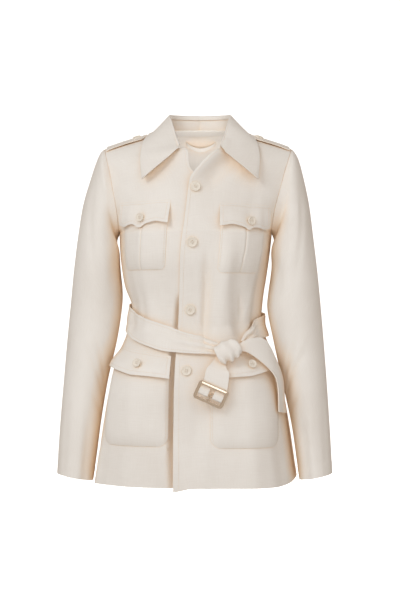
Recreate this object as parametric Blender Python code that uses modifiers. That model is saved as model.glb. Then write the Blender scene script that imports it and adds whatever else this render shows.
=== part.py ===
"""A belted field jacket, hollow as worn, with nobody in it.

Metres, +Z up. The front faces -Y and the wearer's left is +X. The origin is the middle of the
shoulder line, where a neck and two shoulders carry the jacket.
"""
import math
from collections import namedtuple

import bmesh
import bpy
import numpy as np
from mathutils import Matrix, Vector
from mathutils.bvhtree import BVHTree

# Cloth walls and the clearances between sewn pieces
CLOTH = 0.0013
BELT_CLOTH = 0.0022
COLLAR_CLOTH = 0.0018
SEAM = 0.0003
LIE = 0.0010
SHOULDER_GAP = 0.0007
ARM_EASE = 0.0013

# How far each front laps past the middle, and how its free edge stands off
LAP_SINK = 0.0030
LAP_RISE = 0.0012
LAP_REACH = 0.045
WAIST_PULL = 0.009
WAIST_PULL_AT = -0.350
WAIST_PULL_TALL = 0.022
SKIRT_LIFT = 0.0040

# Buttons
FRONT_BUTTON = 0.0100
FLAP_BUTTON = 0.0085
BUTTON_THICK = 0.0030

# Belt and buckle
BELT_LIFT = 0.0055
BUCKLE_WIDE = 0.061
BUCKLE_TALL = 0.037
BUCKLE_WIRE = 0.0024
BAR_RADIUS = 0.0017
BAR_DROP = 0.0035
PRONG_TUBE = 0.0013

# Level rings from the hem to the armpit
Ring = namedtuple("Ring", "z half_width side_y front_y back_y")
RINGS = [
    Ring(-0.700, 0.1985, 0.010, -0.152, 0.136),
    Ring(-0.640, 0.1915, 0.010, -0.149, 0.132),
    Ring(-0.580, 0.1830, 0.009, -0.145, 0.127),
    Ring(-0.520, 0.1725, 0.008, -0.140, 0.119),
    Ring(-0.470, 0.1615, 0.007, -0.132, 0.109),
    Ring(-0.435, 0.1490, 0.006, -0.122, 0.098),
    Ring(-0.410, 0.1385, 0.005, -0.114, 0.090),
    Ring(-0.385, 0.1315, 0.004, -0.109, 0.085),
    Ring(-0.360, 0.1335, 0.004, -0.109, 0.085),
    Ring(-0.330, 0.1370, 0.004, -0.112, 0.088),
    Ring(-0.295, 0.1430, 0.004, -0.119, 0.093),
    Ring(-0.250, 0.1490, 0.005, -0.127, 0.100),
]

# Rows from the armpit up to the shoulder seam: the armhole end, the middle end, the bend between
# them in degrees, and where each front's free edge or neckline lies, measured from the middle
Yoke = namedtuple("Yoke", "side_x side_y side_z mid_y mid_z bend left_edge right_edge")
FRONT_YOKE = [
    Yoke(0.1520, 0.005, -0.2100, -0.128, -0.2100, 90, -0.020, -0.020),
    Yoke(0.1500, -0.036, -0.2000, -0.1265, -0.1980, 75, -0.019, -0.019),
    Yoke(0.1520, -0.055, -0.1750, -0.122, -0.1700, 62, -0.017, -0.018),
    Yoke(0.1580, -0.060, -0.1450, -0.112, -0.1370, 52, -0.015, -0.015),
    Yoke(0.1630, -0.058, -0.1250, -0.103, -0.1080, 46, -0.0125, -0.006),
    Yoke(0.1680, -0.053, -0.1050, -0.093, -0.0762, 40, 0.006, 0.014),
    Yoke(0.1735, -0.045, -0.0830, -0.082, -0.0410, 36, 0.034, 0.0205),
    Yoke(0.1790, -0.035, -0.0640, -0.070, -0.0350, 34, 0.043, 0.043),
    Yoke(0.1845, -0.015, -0.0445, -0.036, -0.0045, 30, 0.060, 0.060),
    Yoke(0.1870, 0.005, -0.0380, 0.008, 0.0207, 15, 0.066, 0.066),
]
BACK_YOKE = [
    Yoke(0.1520, 0.005, -0.2100, 0.104, -0.2100, 90, 0, 0),
    Yoke(0.1510, 0.043, -0.2000, 0.106, -0.1900, 75, 0, 0),
    Yoke(0.1540, 0.064, -0.1750, 0.107, -0.1550, 62, 0, 0),
    Yoke(0.1590, 0.071, -0.1450, 0.104, -0.1180, 52, 0, 0),
    Yoke(0.1640, 0.071, -0.1200, 0.098, -0.0880, 46, 0, 0),
    Yoke(0.1690, 0.067, -0.0980, 0.090, -0.0580, 42, 0, 0),
    Yoke(0.1740, 0.060, -0.0800, 0.081, -0.0330, 38, 0, 0),
    Yoke(0.1800, 0.047, -0.0590, 0.0715, -0.0105, 34, 0, 0),
    Yoke(0.1850, 0.026, -0.0440, 0.045, 0.0085, 28, 0.050, 0.050),
    Yoke(0.1870, 0.005, -0.0380, 0.008, 0.0207, 15, 0.066, 0.066),
]
FRONT_LAP = -0.022
SKIRT_FULLNESS = 0.095
BODICE_FULLNESS = 0.055

# How the standing jacket is turned and leans, by height
Stance = namedtuple("Stance", "z turn shift")
STANCE = [
    Stance(-0.70, -8.0, -0.0045),
    Stance(-0.47, -7.5, -0.0060),
    Stance(-0.36, -4.5, -0.0080),
    Stance(-0.28, -3.0, -0.0085),
    Stance(-0.20, -2.0, -0.0065),
    Stance(-0.11, -1.0, -0.0040),
    Stance(-0.04, -0.5, -0.0020),
    Stance(0.03, 0.0, 0.0010),
]

# The largest folds: place round each half at head and foot (0 middle, 1 the wearer's left seam, -1 the
# right), heights of head and foot, width as a share, and how far out they stand
Fold = namedtuple("Fold", "half head foot head_z foot_z width head_rise foot_rise")
FOLDS = [
    Fold("front", 0.30, 0.36, -0.265, -0.400, 0.060, 0.0015, 0.0060),
    Fold("front", 0.44, 0.48, -0.265, -0.400, 0.070, -0.0015, -0.0055),
    Fold("front", 0.66, 0.62, -0.250, -0.385, 0.080, 0.0020, 0.0055),
    Fold("front", -0.42, -0.38, -0.275, -0.400, 0.070, 0.0010, 0.0050),
    Fold("front", -0.66, -0.60, -0.265, -0.390, 0.080, -0.0010, -0.0050),
    Fold("front", 0.50, 0.56, -0.500, -0.720, 0.100, 0.0005, 0.0060),
    Fold("front", 0.25, 0.22, -0.520, -0.720, 0.090, 0.0005, -0.0040),
    Fold("front", -0.60, -0.66, -0.500, -0.720, 0.120, 0.0005, 0.0050),
    Fold("back", 0.34, 0.26, -0.230, -0.375, 0.070, 0.0015, 0.0060),
    Fold("back", -0.30, -0.30, -0.240, -0.375, 0.070, 0.0015, 0.0055),
    Fold("back", 0.52, 0.60, -0.420, -0.720, 0.110, 0.0010, 0.0080),
    Fold("back", -0.40, -0.48, -0.420, -0.720, 0.120, 0.0010, 0.0070),
    Fold("back", 0.08, 0.04, -0.420, -0.720, 0.130, 0.0010, -0.0060),
]

# Sleeve rings after the armhole: outer line, inner line, middle and half of the depth
Arm = namedtuple("Arm", "outer_x outer_z inner_x inner_z mid_y half_depth")
LEFT_ARM = [
    Arm(0.1900, -0.0445, 0.1515, -0.2215, 0.006, 0.0680),
    Arm(0.1985, -0.0615, 0.1535, -0.2340, 0.004, 0.0700),
    Arm(0.2080, -0.0980, 0.1520, -0.2500, 0.001, 0.0710),
    Arm(0.2185, -0.1500, 0.1495, -0.2700, -0.003, 0.0705),
    Arm(0.2265, -0.2150, 0.1445, -0.2950, -0.008, 0.0690),
    Arm(0.2345, -0.2850, 0.1395, -0.3250, -0.012, 0.0660),
    Arm(0.2405, -0.3500, 0.1375, -0.3600, -0.016, 0.0630),
    Arm(0.2460, -0.4200, 0.1490, -0.4200, -0.022, 0.0590),
    Arm(0.2515, -0.5000, 0.1660, -0.5000, -0.030, 0.0545),
    Arm(0.2560, -0.5800, 0.1830, -0.5800, -0.040, 0.0500),
    Arm(0.2590, -0.6400, 0.1920, -0.6400, -0.047, 0.0465),
    Arm(0.2605, -0.6790, 0.1990, -0.6920, -0.052, 0.0450),
]
RIGHT_ARM = [
    Arm(0.1955, -0.0450, 0.1645, -0.2205, 0.010, 0.0680),
    Arm(0.2045, -0.0640, 0.1660, -0.2320, 0.012, 0.0700),
    Arm(0.2165, -0.1000, 0.1650, -0.2470, 0.013, 0.0710),
    Arm(0.2310, -0.1500, 0.1620, -0.2670, 0.014, 0.0705),
    Arm(0.2415, -0.2150, 0.1580, -0.2920, 0.014, 0.0690),
    Arm(0.2500, -0.2850, 0.1545, -0.3230, 0.014, 0.0660),
    Arm(0.2560, -0.3500, 0.1560, -0.3580, 0.013, 0.0630),
    Arm(0.2625, -0.4200, 0.1655, -0.4200, 0.010, 0.0590),
    Arm(0.2690, -0.5000, 0.1835, -0.5000, 0.005, 0.0550),
    Arm(0.2750, -0.5800, 0.1965, -0.5800, -0.004, 0.0505),
    Arm(0.2785, -0.6400, 0.2040, -0.6400, -0.011, 0.0470),
    Arm(0.2805, -0.6830, 0.2120, -0.6970, -0.016, 0.0450),
]

# Half of the collar from the middle of the back (0) to its front end (1): the roll and the outer edge
Collar = namedtuple("Collar", "share roll_x roll_y roll_z edge_x edge_y edge_z")
COLLAR = [
    Collar(0.00, 0.0000, 0.0790, 0.0335, 0.000, 0.101, -0.020),
    Collar(0.16, 0.0330, 0.0715, 0.0335, 0.046, 0.095, -0.020),
    Collar(0.34, 0.0540, 0.0500, 0.0320, 0.077, 0.067, -0.019),
    Collar(0.52, 0.0630, 0.0140, 0.0275, 0.096, 0.018, -0.0105),
    Collar(0.68, 0.0575, -0.0180, 0.0110, 0.111, -0.030, -0.026),
    Collar(0.84, 0.0495, -0.0455, -0.0140, 0.116, -0.068, -0.060),
    Collar(1.00, 0.0410, -0.0725, -0.0325, 0.112, -0.097, -0.105),
]
COLLAR_SHIFT = 0.0020
COLLAR_FOLD = 0.0030
COLLAR_LIP = 0.0060
COLLAR_BULGE = 0.0010
COLLAR_CLEAR = 0.0016

# Pockets and flaps on each front: distance from the middle, heights, stand-off
Pocket = namedtuple("Pocket", "near far top foot corner rise")
CHEST_POCKET = Pocket(0.052, 0.154, -0.180, -0.287, 0.010, 0.0030)
HIP_POCKET = Pocket(0.036, 0.184, -0.468, -0.622, 0.022, 0.0075)
Flap = namedtuple("Flap", "near far near_top far_top near_foot far_foot point lift")
CHEST_FLAP = Flap(0.047, 0.159, -0.153, -0.157, -0.199, -0.198, 0.009, 0.0070)
HIP_FLAP = Flap(0.033, 0.187, -0.449, -0.430, -0.494, -0.474, 0.004, 0.0110)
# How far each front's pockets have slid out and up on the standing jacket
Slide = namedtuple("Slide", "chest_out chest_up hip_out hip_up")
SLIDE = {1: Slide(0.002, 0.0, 0.012, -0.001), -1: Slide(0.0, 0.006, -0.001, 0.001)}

FRONT_BUTTON_Z = [-0.121, -0.2285, -0.359, -0.476]
CHEST_BUTTON_Z = -0.187
HIP_BUTTON_Z = -0.467
# How far a flap's button sits out from the middle of its flap
BUTTON_OUT = {("chest", 1): 0.006, ("chest", -1): 0.0, ("hip", 1): 0.0, ("hip", -1): -0.015}

# The belt's middle line and half width by turn from the middle front, to each side of the knot
Belt = namedtuple("Belt", "turn z half_width")
BELT_RIGHT = [
    Belt(24, -0.4365, 0.0095),
    Belt(12, -0.4300, 0.0150),
    Belt(-6, -0.4225, 0.0200),
    Belt(-20, -0.4140, 0.0245),
    Belt(-40, -0.3980, 0.0255),
    Belt(-90, -0.3710, 0.0245),
    Belt(-180, -0.3800, 0.0240),
]
BELT_LEFT = [
    Belt(180, -0.3800, 0.0240),
    Belt(90, -0.3910, 0.0225),
    Belt(66, -0.3990, 0.0200),
    Belt(50, -0.4160, 0.0150),
    Belt(40, -0.4310, 0.0100),
]

# The knot's wrap: its middle, its tilt, turn and lean in degrees and its half sizes
KNOT_AT = (0.0540, -0.1400, -0.4400)
KNOT_TILT = 25
KNOT_TURN = 16
KNOT_LEAN = 14
KNOT_ALONG = 0.0250
KNOT_ACROSS = 0.0225
KNOT_OUT = 0.0170

# Both edges of the hanging ends, from the knot down
Edges = namedtuple("Edges", "ax ay az bx by bz")
FREE_TAIL = [
    Edges(0.0720, -0.1260, -0.4420, 0.0780, -0.1230, -0.4240),
    Edges(0.0880, -0.1270, -0.4390, 0.1010, -0.1150, -0.4140),
    Edges(0.1120, -0.1240, -0.4530, 0.1290, -0.0960, -0.4180),
    Edges(0.1420, -0.1190, -0.4800, 0.1500, -0.0840, -0.4560),
    Edges(0.1520, -0.1150, -0.5060, 0.1640, -0.0760, -0.4960),
    Edges(0.1540, -0.1140, -0.5560, 0.1680, -0.0730, -0.5610),
]
BUCKLE_TAIL = [
    Edges(0.0350, -0.1380, -0.4470, 0.0500, -0.1390, -0.4500),
    Edges(0.0270, -0.1480, -0.4560, 0.0500, -0.1490, -0.4640),
    Edges(0.0140, -0.1580, -0.4720, 0.0575, -0.1590, -0.4810),
]
BUCKLE_AT = (0.0225, -0.1690, -0.5190)
BUCKLE_TILT = -24
BUCKLE_LEAN = 3

# The strip inside the back neck
LOOP_SPAN = (-0.026, 0.035)
LOOP_WIDE = 0.0075
LOOP_SAG = 0.0115
LOOP_STAND = 0.0090

# Grid counts
PANEL_COLUMNS = 12
RING_STEPS = 19
YOKE_LEVELS = (1, 2, 3, 4, 5, 6, 7, 7.5, 8, 8.5, 9)
ARM_STEPS = 16


def along(keys, values, at):
    """A smooth curve through rows of values that never swings past them, read at any keys."""
    keys = np.asarray(keys, float)
    values = np.asarray(values, float).reshape(len(keys), -1)
    if keys[0] > keys[-1]:
        keys, values = keys[::-1], values[::-1]
    step = np.diff(keys)[:, None]
    rise = np.diff(values, axis=0) / step
    slope = np.zeros_like(values)
    slope[0], slope[-1] = rise[0], rise[-1]
    before, after = rise[:-1], rise[1:]
    same = before * after > 0
    safe = np.where(same, before + after, 1.0)
    slope[1:-1] = np.where(same, 2 * before * after / safe, 0.0)
    at = np.asarray(at, float)
    flat = np.clip(at.ravel(), keys[0], keys[-1])
    i = np.clip(np.searchsorted(keys, flat) - 1, 0, len(keys) - 2)
    h = step[i]
    t = (flat - keys[i])[:, None] / h
    curve = (values[i] * (1 + 2 * t) * (1 - t) ** 2 + values[i + 1] * t * t * (3 - 2 * t)
             + slope[i] * h * t * (1 - t) ** 2 - slope[i + 1] * h * t * t * (1 - t))
    return curve.reshape(at.shape + (values.shape[1],))


def flowing(rows, count):
    """Rows of points joined by an even smooth curve, read at count places."""
    rows = np.asarray(rows, float)
    last = len(rows) - 1
    at = np.linspace(0, last, count)
    i = np.minimum(at.astype(int), last - 1)
    t = (at - i).reshape((-1,) + (1,) * (rows.ndim - 1))
    before = rows[np.maximum(i - 1, 0)]
    after = rows[np.minimum(i + 2, last)]
    lead = (rows[i + 1] - before) / 2
    trail = (after - rows[i]) / 2
    return (rows[i] * (1 + 2 * t) * (1 - t) ** 2 + rows[i + 1] * t * t * (3 - 2 * t)
            + lead * t * (1 - t) ** 2 - trail * t * t * (1 - t))


def ease(t):
    t = np.clip(t, 0.0, 1.0)
    return t * t * (3 - 2 * t)


def section_rows(half):
    """One row per level of a half: side point, middle point, bend and the two free edges."""
    rows = []
    for ring in RINGS:
        middle = ring.front_y if half == "front" else ring.back_y
        lap = FRONT_LAP if half == "front" else 0.0
        rows.append((ring.half_width, ring.side_y, ring.z, middle, ring.z, 90, lap, lap))
    rows.extend(FRONT_YOKE if half == "front" else BACK_YOKE)
    return np.array(rows, float)


SECTIONS = {"front": section_rows("front"), "back": section_rows("back")}
TOP_LEVEL = len(SECTIONS["front"]) - 1
PIT_LEVEL = len(RINGS)


def section_at(half, level):
    return np.moveaxis(along(np.arange(TOP_LEVEL + 1), SECTIONS[half], level), -1, 0)


def stand(points):
    """Turn and shift points by their height, as the jacket stands."""
    keys = [row.z for row in STANCE]
    turn, shift = np.moveaxis(along(keys, [(row.turn, row.shift) for row in STANCE],
                                    points[..., 2]), -1, 0)
    cosine, sine = np.cos(np.radians(turn)), np.sin(np.radians(turn))
    x = points[..., 0] * cosine - points[..., 1] * sine + shift
    y = points[..., 0] * sine + points[..., 1] * cosine
    return np.stack([x, y, points[..., 2]], axis=-1)


def fold_rise(half, place, z):
    """How far the folds push the cloth out at a place round a half."""
    rise = np.zeros(np.broadcast(place, z).shape)
    for fold in FOLDS:
        if fold.half != half:
            continue
        down = (fold.head_z - z) / (fold.head_z - fold.foot_z)
        middle = fold.head + (fold.foot - fold.head) * down
        height = fold.head_rise + (fold.foot_rise - fold.head_rise) * np.clip(down, 0, 1)
        fade = ease(1 + down / 0.25) * ease(1 + (1 - down) / 0.25)
        rise = rise + height * fade * np.exp(-((place - middle) / fold.width) ** 2)
    return rise


def lap_rise(side, x, z):
    """Near the front edges the top front stands off and the one beneath sinks."""
    near = 1 - ease(x / LAP_REACH)
    if side < 0:
        return -LAP_SINK * near
    skirt = ease((-0.445 - z) / 0.08)
    return (LAP_RISE + SKIRT_LIFT * skirt) * near


def waist_pull(side, share, z):
    """The belt draws the wearer's right side of the waist in."""
    if side > 0:
        return 0.0
    level = np.exp(-((z - WAIST_PULL_AT) / WAIST_PULL_TALL) ** 2)
    return -WAIST_PULL * level * ease((share - 0.35) / 0.65)


def torso(half, side, share, level):
    """Outer face of a half of the body: share 0 at the middle, 1 at the side seam or armhole."""
    share, level = np.broadcast_arrays(np.asarray(share, float), np.asarray(level, float))
    side_x, side_y, side_z, mid_y, mid_z, bend, _, _ = section_at(half, level)
    bend = np.radians(bend)
    turn = share * bend
    out = np.sin(turn) / np.sin(bend)
    away = (1 - np.cos(turn)) / (1 - np.cos(bend))
    boxy = BODICE_FULLNESS + (SKIRT_FULLNESS - BODICE_FULLNESS) * ease((-0.43 - mid_z) / 0.07)
    full = 1 + boxy * np.sin(2 * turn) ** 2 * (bend / (math.pi / 2)) ** 4
    x = side_x * out * full
    y = side_y + (mid_y - side_y) * (1 - away) * full
    z = mid_z + (side_z - mid_z) * out
    facing = -1.0 if half == "front" else 1.0
    depth = np.abs(mid_y - side_y) + 0.02
    normal_x, normal_y = np.sin(turn) * depth, facing * np.cos(turn) * side_x
    length = np.hypot(normal_x, normal_y)
    rise = fold_rise(half, side * share, z) + waist_pull(side, share, z)
    if half == "front":
        rise = rise + lap_rise(side, x, z)
    x = x + rise * normal_x / length
    y = y + rise * normal_y / length
    return stand(np.stack([side * x, y, z], axis=-1))


def edge_share(half, side, level):
    """The share at which a panel's free edge or neckline lies."""
    side_x, _, _, _, _, bend, left, right = section_at(half, level)
    edge = left if side > 0 else right
    bend = np.radians(bend)
    return np.arcsin(np.clip(edge / side_x * np.sin(bend), -1, 1)) / bend


class Face:
    """The outer face of one half, read by distance from the middle and height."""

    def __init__(self, half, side):
        self.half, self.side = half, side
        self.share = np.linspace(-0.34, 1.0, 135)
        self.level = np.linspace(0, TOP_LEVEL - 1, 261)
        self.points = torso(half, side, self.share[None, :], self.level[:, None])
        self.outward = side * (1 if half == "front" else -1)
        self.lines = {}

    def line(self, z):
        """The level line at a height, with its distance from the middle."""
        z = round(float(z), 5)
        if z not in self.lines:
            heights = self.points[:, :, 2]
            spots = np.empty((len(self.share), 3))
            for j in range(len(self.share)):
                for k in range(2):
                    spots[j, k] = np.interp(z, heights[:, j], self.points[:, j, k])
            spots[:, 2] = z
            run = np.concatenate([[0], np.cumsum(np.linalg.norm(np.diff(spots, axis=0), axis=1))])
            run = run - np.interp(0.0, self.share, run)
            self.lines[z] = (spots, run)
        return self.lines[z]

    def spot(self, distance, z, by_share=False):
        spots, run = self.line(z)
        keys = self.share if by_share else run
        return np.array([np.interp(distance, keys, spots[:, k]) for k in range(3)])

    def raised(self, distance, z, lift, by_share=False):
        """A point above the face by lift, along the face's own normal."""
        reach = 0.004 / (0.25 if by_share else 1.0)
        across = (self.spot(distance + reach, z, by_share) - self.spot(distance - reach, z, by_share))
        upward = self.spot(distance, z + 0.004, by_share) - self.spot(distance, z - 0.004, by_share)
        normal = np.cross(across, upward) * self.outward
        normal = normal / np.linalg.norm(normal)
        return self.spot(distance, z, by_share) + normal * lift, normal


def tidy_start():
    for thing in list(bpy.data.objects):
        bpy.data.objects.remove(thing)


tidy_start()
JACKET = bpy.data.collections.new("field_jacket")
CUTTERS = bpy.data.collections.new("cutters")
bpy.context.scene.collection.children.link(JACKET)
bpy.context.scene.collection.children.link(CUTTERS)


def finish_of(name, colour, rough, metal):
    material = bpy.data.materials.new(name)
    material.use_nodes = True
    shader = material.node_tree.nodes["Principled BSDF"]
    shader.inputs["Base Color"].default_value = (*colour, 1.0)
    shader.inputs["Roughness"].default_value = rough
    shader.inputs["Metallic"].default_value = metal
    return material


IVORY = (0.80, 0.72, 0.63)
PEARL = (0.78, 0.70, 0.60)
GOLD = (0.83, 0.69, 0.44)


def add_object(name, mesh, colour=IVORY, rough=0.85, metal=0.0, collection=JACKET):
    thing = bpy.data.objects.new(name, mesh)
    mesh.materials.append(finish_of(name, colour, rough, metal))
    collection.objects.link(thing)
    return thing


def grid_mesh(name, grids, wrap=False, skip=None):
    """A surface mesh over one or more grids of points, welded where the grids meet."""
    sheet = bmesh.new()
    for grid in grids:
        rows, columns = grid.shape[:2]
        corners = [[sheet.verts.new(point) for point in row] for row in grid]
        for i in range(rows - 1):
            for j in range(columns if wrap else columns - 1):
                if skip and skip(i, j):
                    continue
                k = (j + 1) % columns
                sheet.faces.new((corners[i][j], corners[i][k], corners[i + 1][k], corners[i + 1][j]))
    bmesh.ops.remove_doubles(sheet, verts=sheet.verts, dist=1e-6)
    loose = [corner for corner in sheet.verts if not corner.link_faces]
    bmesh.ops.delete(sheet, geom=loose, context="VERTS")
    mesh = bpy.data.meshes.new(name)
    sheet.to_mesh(mesh)
    sheet.free()
    return mesh


def cloth(name, grids, wall=CLOTH, grow=-1, flip=False, wrap=False, skip=None, colour=IVORY):
    """A wall of cloth on a surface: grow -1 puts it behind the surface, 1 in front."""
    grids = grids if isinstance(grids, list) else [grids]
    if flip:
        grids = [grid[:, ::-1] for grid in grids]
    thing = add_object(name, grid_mesh(name, grids, wrap, skip), colour)
    thicken = thing.modifiers.new("wall", "SOLIDIFY")
    thicken.thickness = wall
    thicken.offset = grow
    thicken.use_even_offset = True
    thicken.use_quality_normals = True
    return thing


def panel_levels():
    lower = np.linspace(0, PIT_LEVEL, RING_STEPS)
    return np.concatenate([lower, PIT_LEVEL + np.array(YOKE_LEVELS)])


def panel_grid(half, side, columns, shoulder_gap=SHOULDER_GAP):
    """Points of one panel half from its free edge to the side seam and armhole."""
    level = panel_levels()[:, None]
    near = edge_share(half, side, level)
    far = 1.0 - SEAM / 0.2
    share = near + (far - near) * np.linspace(0, 1, columns)[None, :]
    grid = torso(half, side, share, np.broadcast_to(level, share.shape))
    grid[-1, :, 1] += shoulder_gap if half == "back" else -shoulder_gap
    return grid


def build_body():
    left = panel_grid("front", 1, PANEL_COLUMNS)
    right = panel_grid("front", -1, PANEL_COLUMNS)
    back_left = panel_grid("back", 1, PANEL_COLUMNS)
    back_right = panel_grid("back", -1, PANEL_COLUMNS)
    cloth("front_left", left)
    cloth("front_right", right, flip=True)
    back = cloth("back", [back_left[:, ::-1], back_right])
    return left, right, back_left, back_right, back


def armhole(side):
    """Points round the armhole from the shoulder point forward, under the arm and up the back."""
    levels = PIT_LEVEL + np.array((0,) + YOKE_LEVELS, float)
    front = torso("front", side, 1.0, levels[::-1])
    back = torso("back", side, 1.0, levels[1:-1])
    ring = np.concatenate([front, back])
    middle = (front[0] + front[-1]) / 2
    tall = np.linalg.norm(front[0] - front[-1]) / 2
    deep = (ring[:, 1].max() - ring[:, 1].min()) / 2
    up = (front[0] - front[-1]) / (2 * tall)
    angle = np.arctan2(-(ring[:, 1] - middle[1]) / deep, (ring - middle) @ up / tall)
    angle = np.where(angle < 0, angle + 2 * math.pi, angle)
    angle[0] = 0.0
    return ring, angle


def arm_grid(side, rows, steps):
    """Rings of a sleeve from the armhole to the cuff."""
    first, turn = armhole(side)
    rings = [first + np.array([side * 0.0009, 0, -0.0003])]
    even = np.arange(len(turn)) * 2 * math.pi / len(turn)
    for number, arm in enumerate(rows):
        settle = ease((number + 1) / 5)
        round_turn = turn * (1 - settle) + even * settle
        grown = ARM_EASE * ease((number - 1) / 3)
        outer = np.array([side * (arm.outer_x + ARM_EASE), arm.mid_y, arm.outer_z])
        inner = np.array([side * (arm.inner_x - grown), arm.mid_y, arm.inner_z])
        middle = (outer + inner) / 2
        reach = (outer - inner) / 2
        forward = np.array([0, -arm.half_depth - grown, 0])
        rings.append(middle + np.cos(round_turn)[:, None] * reach + np.sin(round_turn)[:, None] * forward)
    return flowing(np.array(rings), steps)


def build_sleeves():
    for name, side, rows in (("sleeve_left", 1, LEFT_ARM), ("sleeve_right", -1, RIGHT_ARM)):
        cloth(name, arm_grid(side, rows, ARM_STEPS), wrap=True, flip=side < 0)


def neckline(side):
    """The neck edge from the middle back to the collar's front end, on the panels' own points."""
    levels = PIT_LEVEL + np.array([7, 7.5, 8, 8.5, 9])
    back = torso("back", side, edge_share("back", side, levels), levels)
    front = torso("front", side, edge_share("front", side, levels), levels)[::-1]
    corners = np.concatenate([back, front[1:]])
    line = np.empty((2 * len(corners) - 1, 3))
    line[::2] = corners
    line[1::2] = (corners[1:] + corners[:-1]) / 2
    run = np.concatenate([[0], np.cumsum(np.linalg.norm(np.diff(line, axis=0), axis=1))])
    return line, run / run[-1]


def both_sides(half_rows):
    """A half from the middle outward, joined to its own other side."""
    left, right = half_rows
    return np.concatenate([right[::-1], left[1:]])


def collar_frames():
    """Neck, roll and edge points round the whole neck, with the inward direction at each."""
    table = np.array([row[1:] for row in COLLAR])
    neck, roll, edge = [], [], []
    for side in (1, -1):
        flip = np.array([side, 1, 1])
        line, share = neckline(side)
        values = flowing_by([row.share for row in COLLAR], table, share)
        neck.append(line)
        roll.append(values[:, :3] * flip + np.array([COLLAR_SHIFT, 0, 0]))
        edge.append(values[:, 3:] * flip + np.array([COLLAR_SHIFT, 0, 0]))
    neck, roll, edge = both_sides(neck), both_sides(roll), both_sides(edge)
    inward = np.array([COLLAR_SHIFT, 0.004, 0]) - roll
    inward[:, 2] = 0
    inward = inward / np.linalg.norm(inward, axis=1)[:, None]
    return neck, roll, edge, inward


def flowing_by(keys, rows, at):
    """Smooth rows of values over uneven keys, with soft slopes at each key."""
    keys, rows = np.asarray(keys, float), np.asarray(rows, float)
    slope = np.gradient(rows, keys, axis=0)
    i = np.clip(np.searchsorted(keys, at) - 1, 0, len(keys) - 2)
    h = (keys[i + 1] - keys[i])[:, None]
    t = (at - keys[i])[:, None] / h
    return (rows[i] * (1 + 2 * t) * (1 - t) ** 2 + rows[i + 1] * t * t * (3 - 2 * t)
            + slope[i] * h * t * (1 - t) ** 2 - slope[i + 1] * h * t * t * (1 - t))


def tree_over(grids):
    """A search tree over body faces, used to keep pieces clear of them."""
    spots, faces = [], []
    for grid, outward in grids:
        start = len(spots)
        rows, columns = grid.shape[:2]
        spots.extend(Vector(point) for point in grid.reshape(-1, 3))
        for i in range(rows - 1):
            for j in range(columns - 1):
                a = start + i * columns + j
                quad = (a, a + 1, a + columns + 1, a + columns)
                faces.append(quad if outward else quad[::-1])
    return BVHTree.FromPolygons(spots, faces)


def body_tree():
    grids = []
    for half, side in (("front", 1), ("front", -1), ("back", 1), ("back", -1)):
        outward = (side > 0) == (half == "front")
        grids.append((panel_grid(half, side, PANEL_COLUMNS, -0.0002), outward))
    return tree_over(grids)


def clear_of(tree, points, clearance, reach=0.05):
    """Move points that come too near the body, or lie inside it, out to a clearance."""
    moved = np.array(points, float)
    for index in np.ndindex(moved.shape[:-1]):
        spot, normal, _, distance = tree.find_nearest(Vector(moved[index]), reach)
        if spot is None:
            continue
        off = (Vector(moved[index]) - spot).dot(normal)
        if off < clearance and abs(off) > 0.6 * distance:
            moved[index] = np.array(Vector(moved[index]) + normal * (clearance - off))
    return moved


def build_collar(tree):
    neck, roll, edge, inward = collar_frames()
    rise = np.linalg.norm(roll - neck, axis=1)[:, None]
    fold = COLLAR_FOLD * np.clip(rise / 0.03, 0.6, 1)
    lip = np.minimum(COLLAR_LIP, 0.35 * rise)
    up = np.array([0.0, 0.0, 1.0])
    start = roll + inward * fold - up * lip
    shoulder = roll + inward * fold - up * 0.2 * lip
    crest = roll + inward * fold * 0.5 + up * 0.0012
    rows = [start, shoulder, crest, roll - up * 0.0002]
    outward = -inward + np.array([0, 0, 0.5])
    for t in (0.2, 0.42, 0.68, 1.0):
        bulge = COLLAR_BULGE * math.sin(math.pi * t) * (1 - 0.4 * t)
        rows.append(roll * (1 - t) + edge * t + outward * bulge)
    fall = np.array(rows)
    fall[4:] = clear_of(tree, fall[4:], COLLAR_CLEAR + COLLAR_CLOTH)
    cloth("collar_fall", fall, COLLAR_CLOTH, flip=True)
    foot = neck + up * 0.0006 + inward * 0.0005
    head = start - up * (SEAM + 0.0003)
    stand_rows = np.array([foot * (1 - t) + head * t for t in (0.0, 0.5, 1.0)])
    cloth("collar_stand", stand_rows, COLLAR_CLOTH)


def outline_foot(flap, across):
    """How low a flap hangs at a share of its width: slanting, with a soft point at the middle."""
    straight = flap.near_foot + (flap.far_foot - flap.near_foot) * across
    point = flap.point * np.maximum(0, 1 - np.abs(across - 0.5) / 0.42) ** 1.6
    return straight - point


def pocket_grid(face, pocket, columns, rows):
    """A patch pocket: sewn at sides and foot, standing off in its middle, rounded at its corners."""
    grid = np.empty((rows, columns, 3))
    for i, down in enumerate(np.linspace(0, 1, rows)):
        for j, across in enumerate(np.linspace(0, 1, columns)):
            z = pocket.top + (pocket.foot - pocket.top) * down
            to_foot = (1 - down) * (pocket.top - pocket.foot)
            inset = 0.0
            if to_foot < pocket.corner:
                inset = pocket.corner - math.sqrt(pocket.corner ** 2 - (pocket.corner - to_foot) ** 2)
            wide = pocket.far - pocket.near
            distance = pocket.near + inset + (wide - 2 * inset) * across
            side_rise = 1 - (2 * across - 1) ** 8
            foot_rise = 1 - down ** 10
            mouth = 0.5 + 0.5 * ease(down / 0.4)
            lift = LIE + 0.0006 + pocket.rise * side_rise * foot_rise * mouth
            lift += 0.0012 * math.exp(-((across - 0.5) / 0.10) ** 2) * foot_rise * side_rise * mouth
            grid[i, j] = face.raised(distance, z, lift)[0]
    return grid


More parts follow.
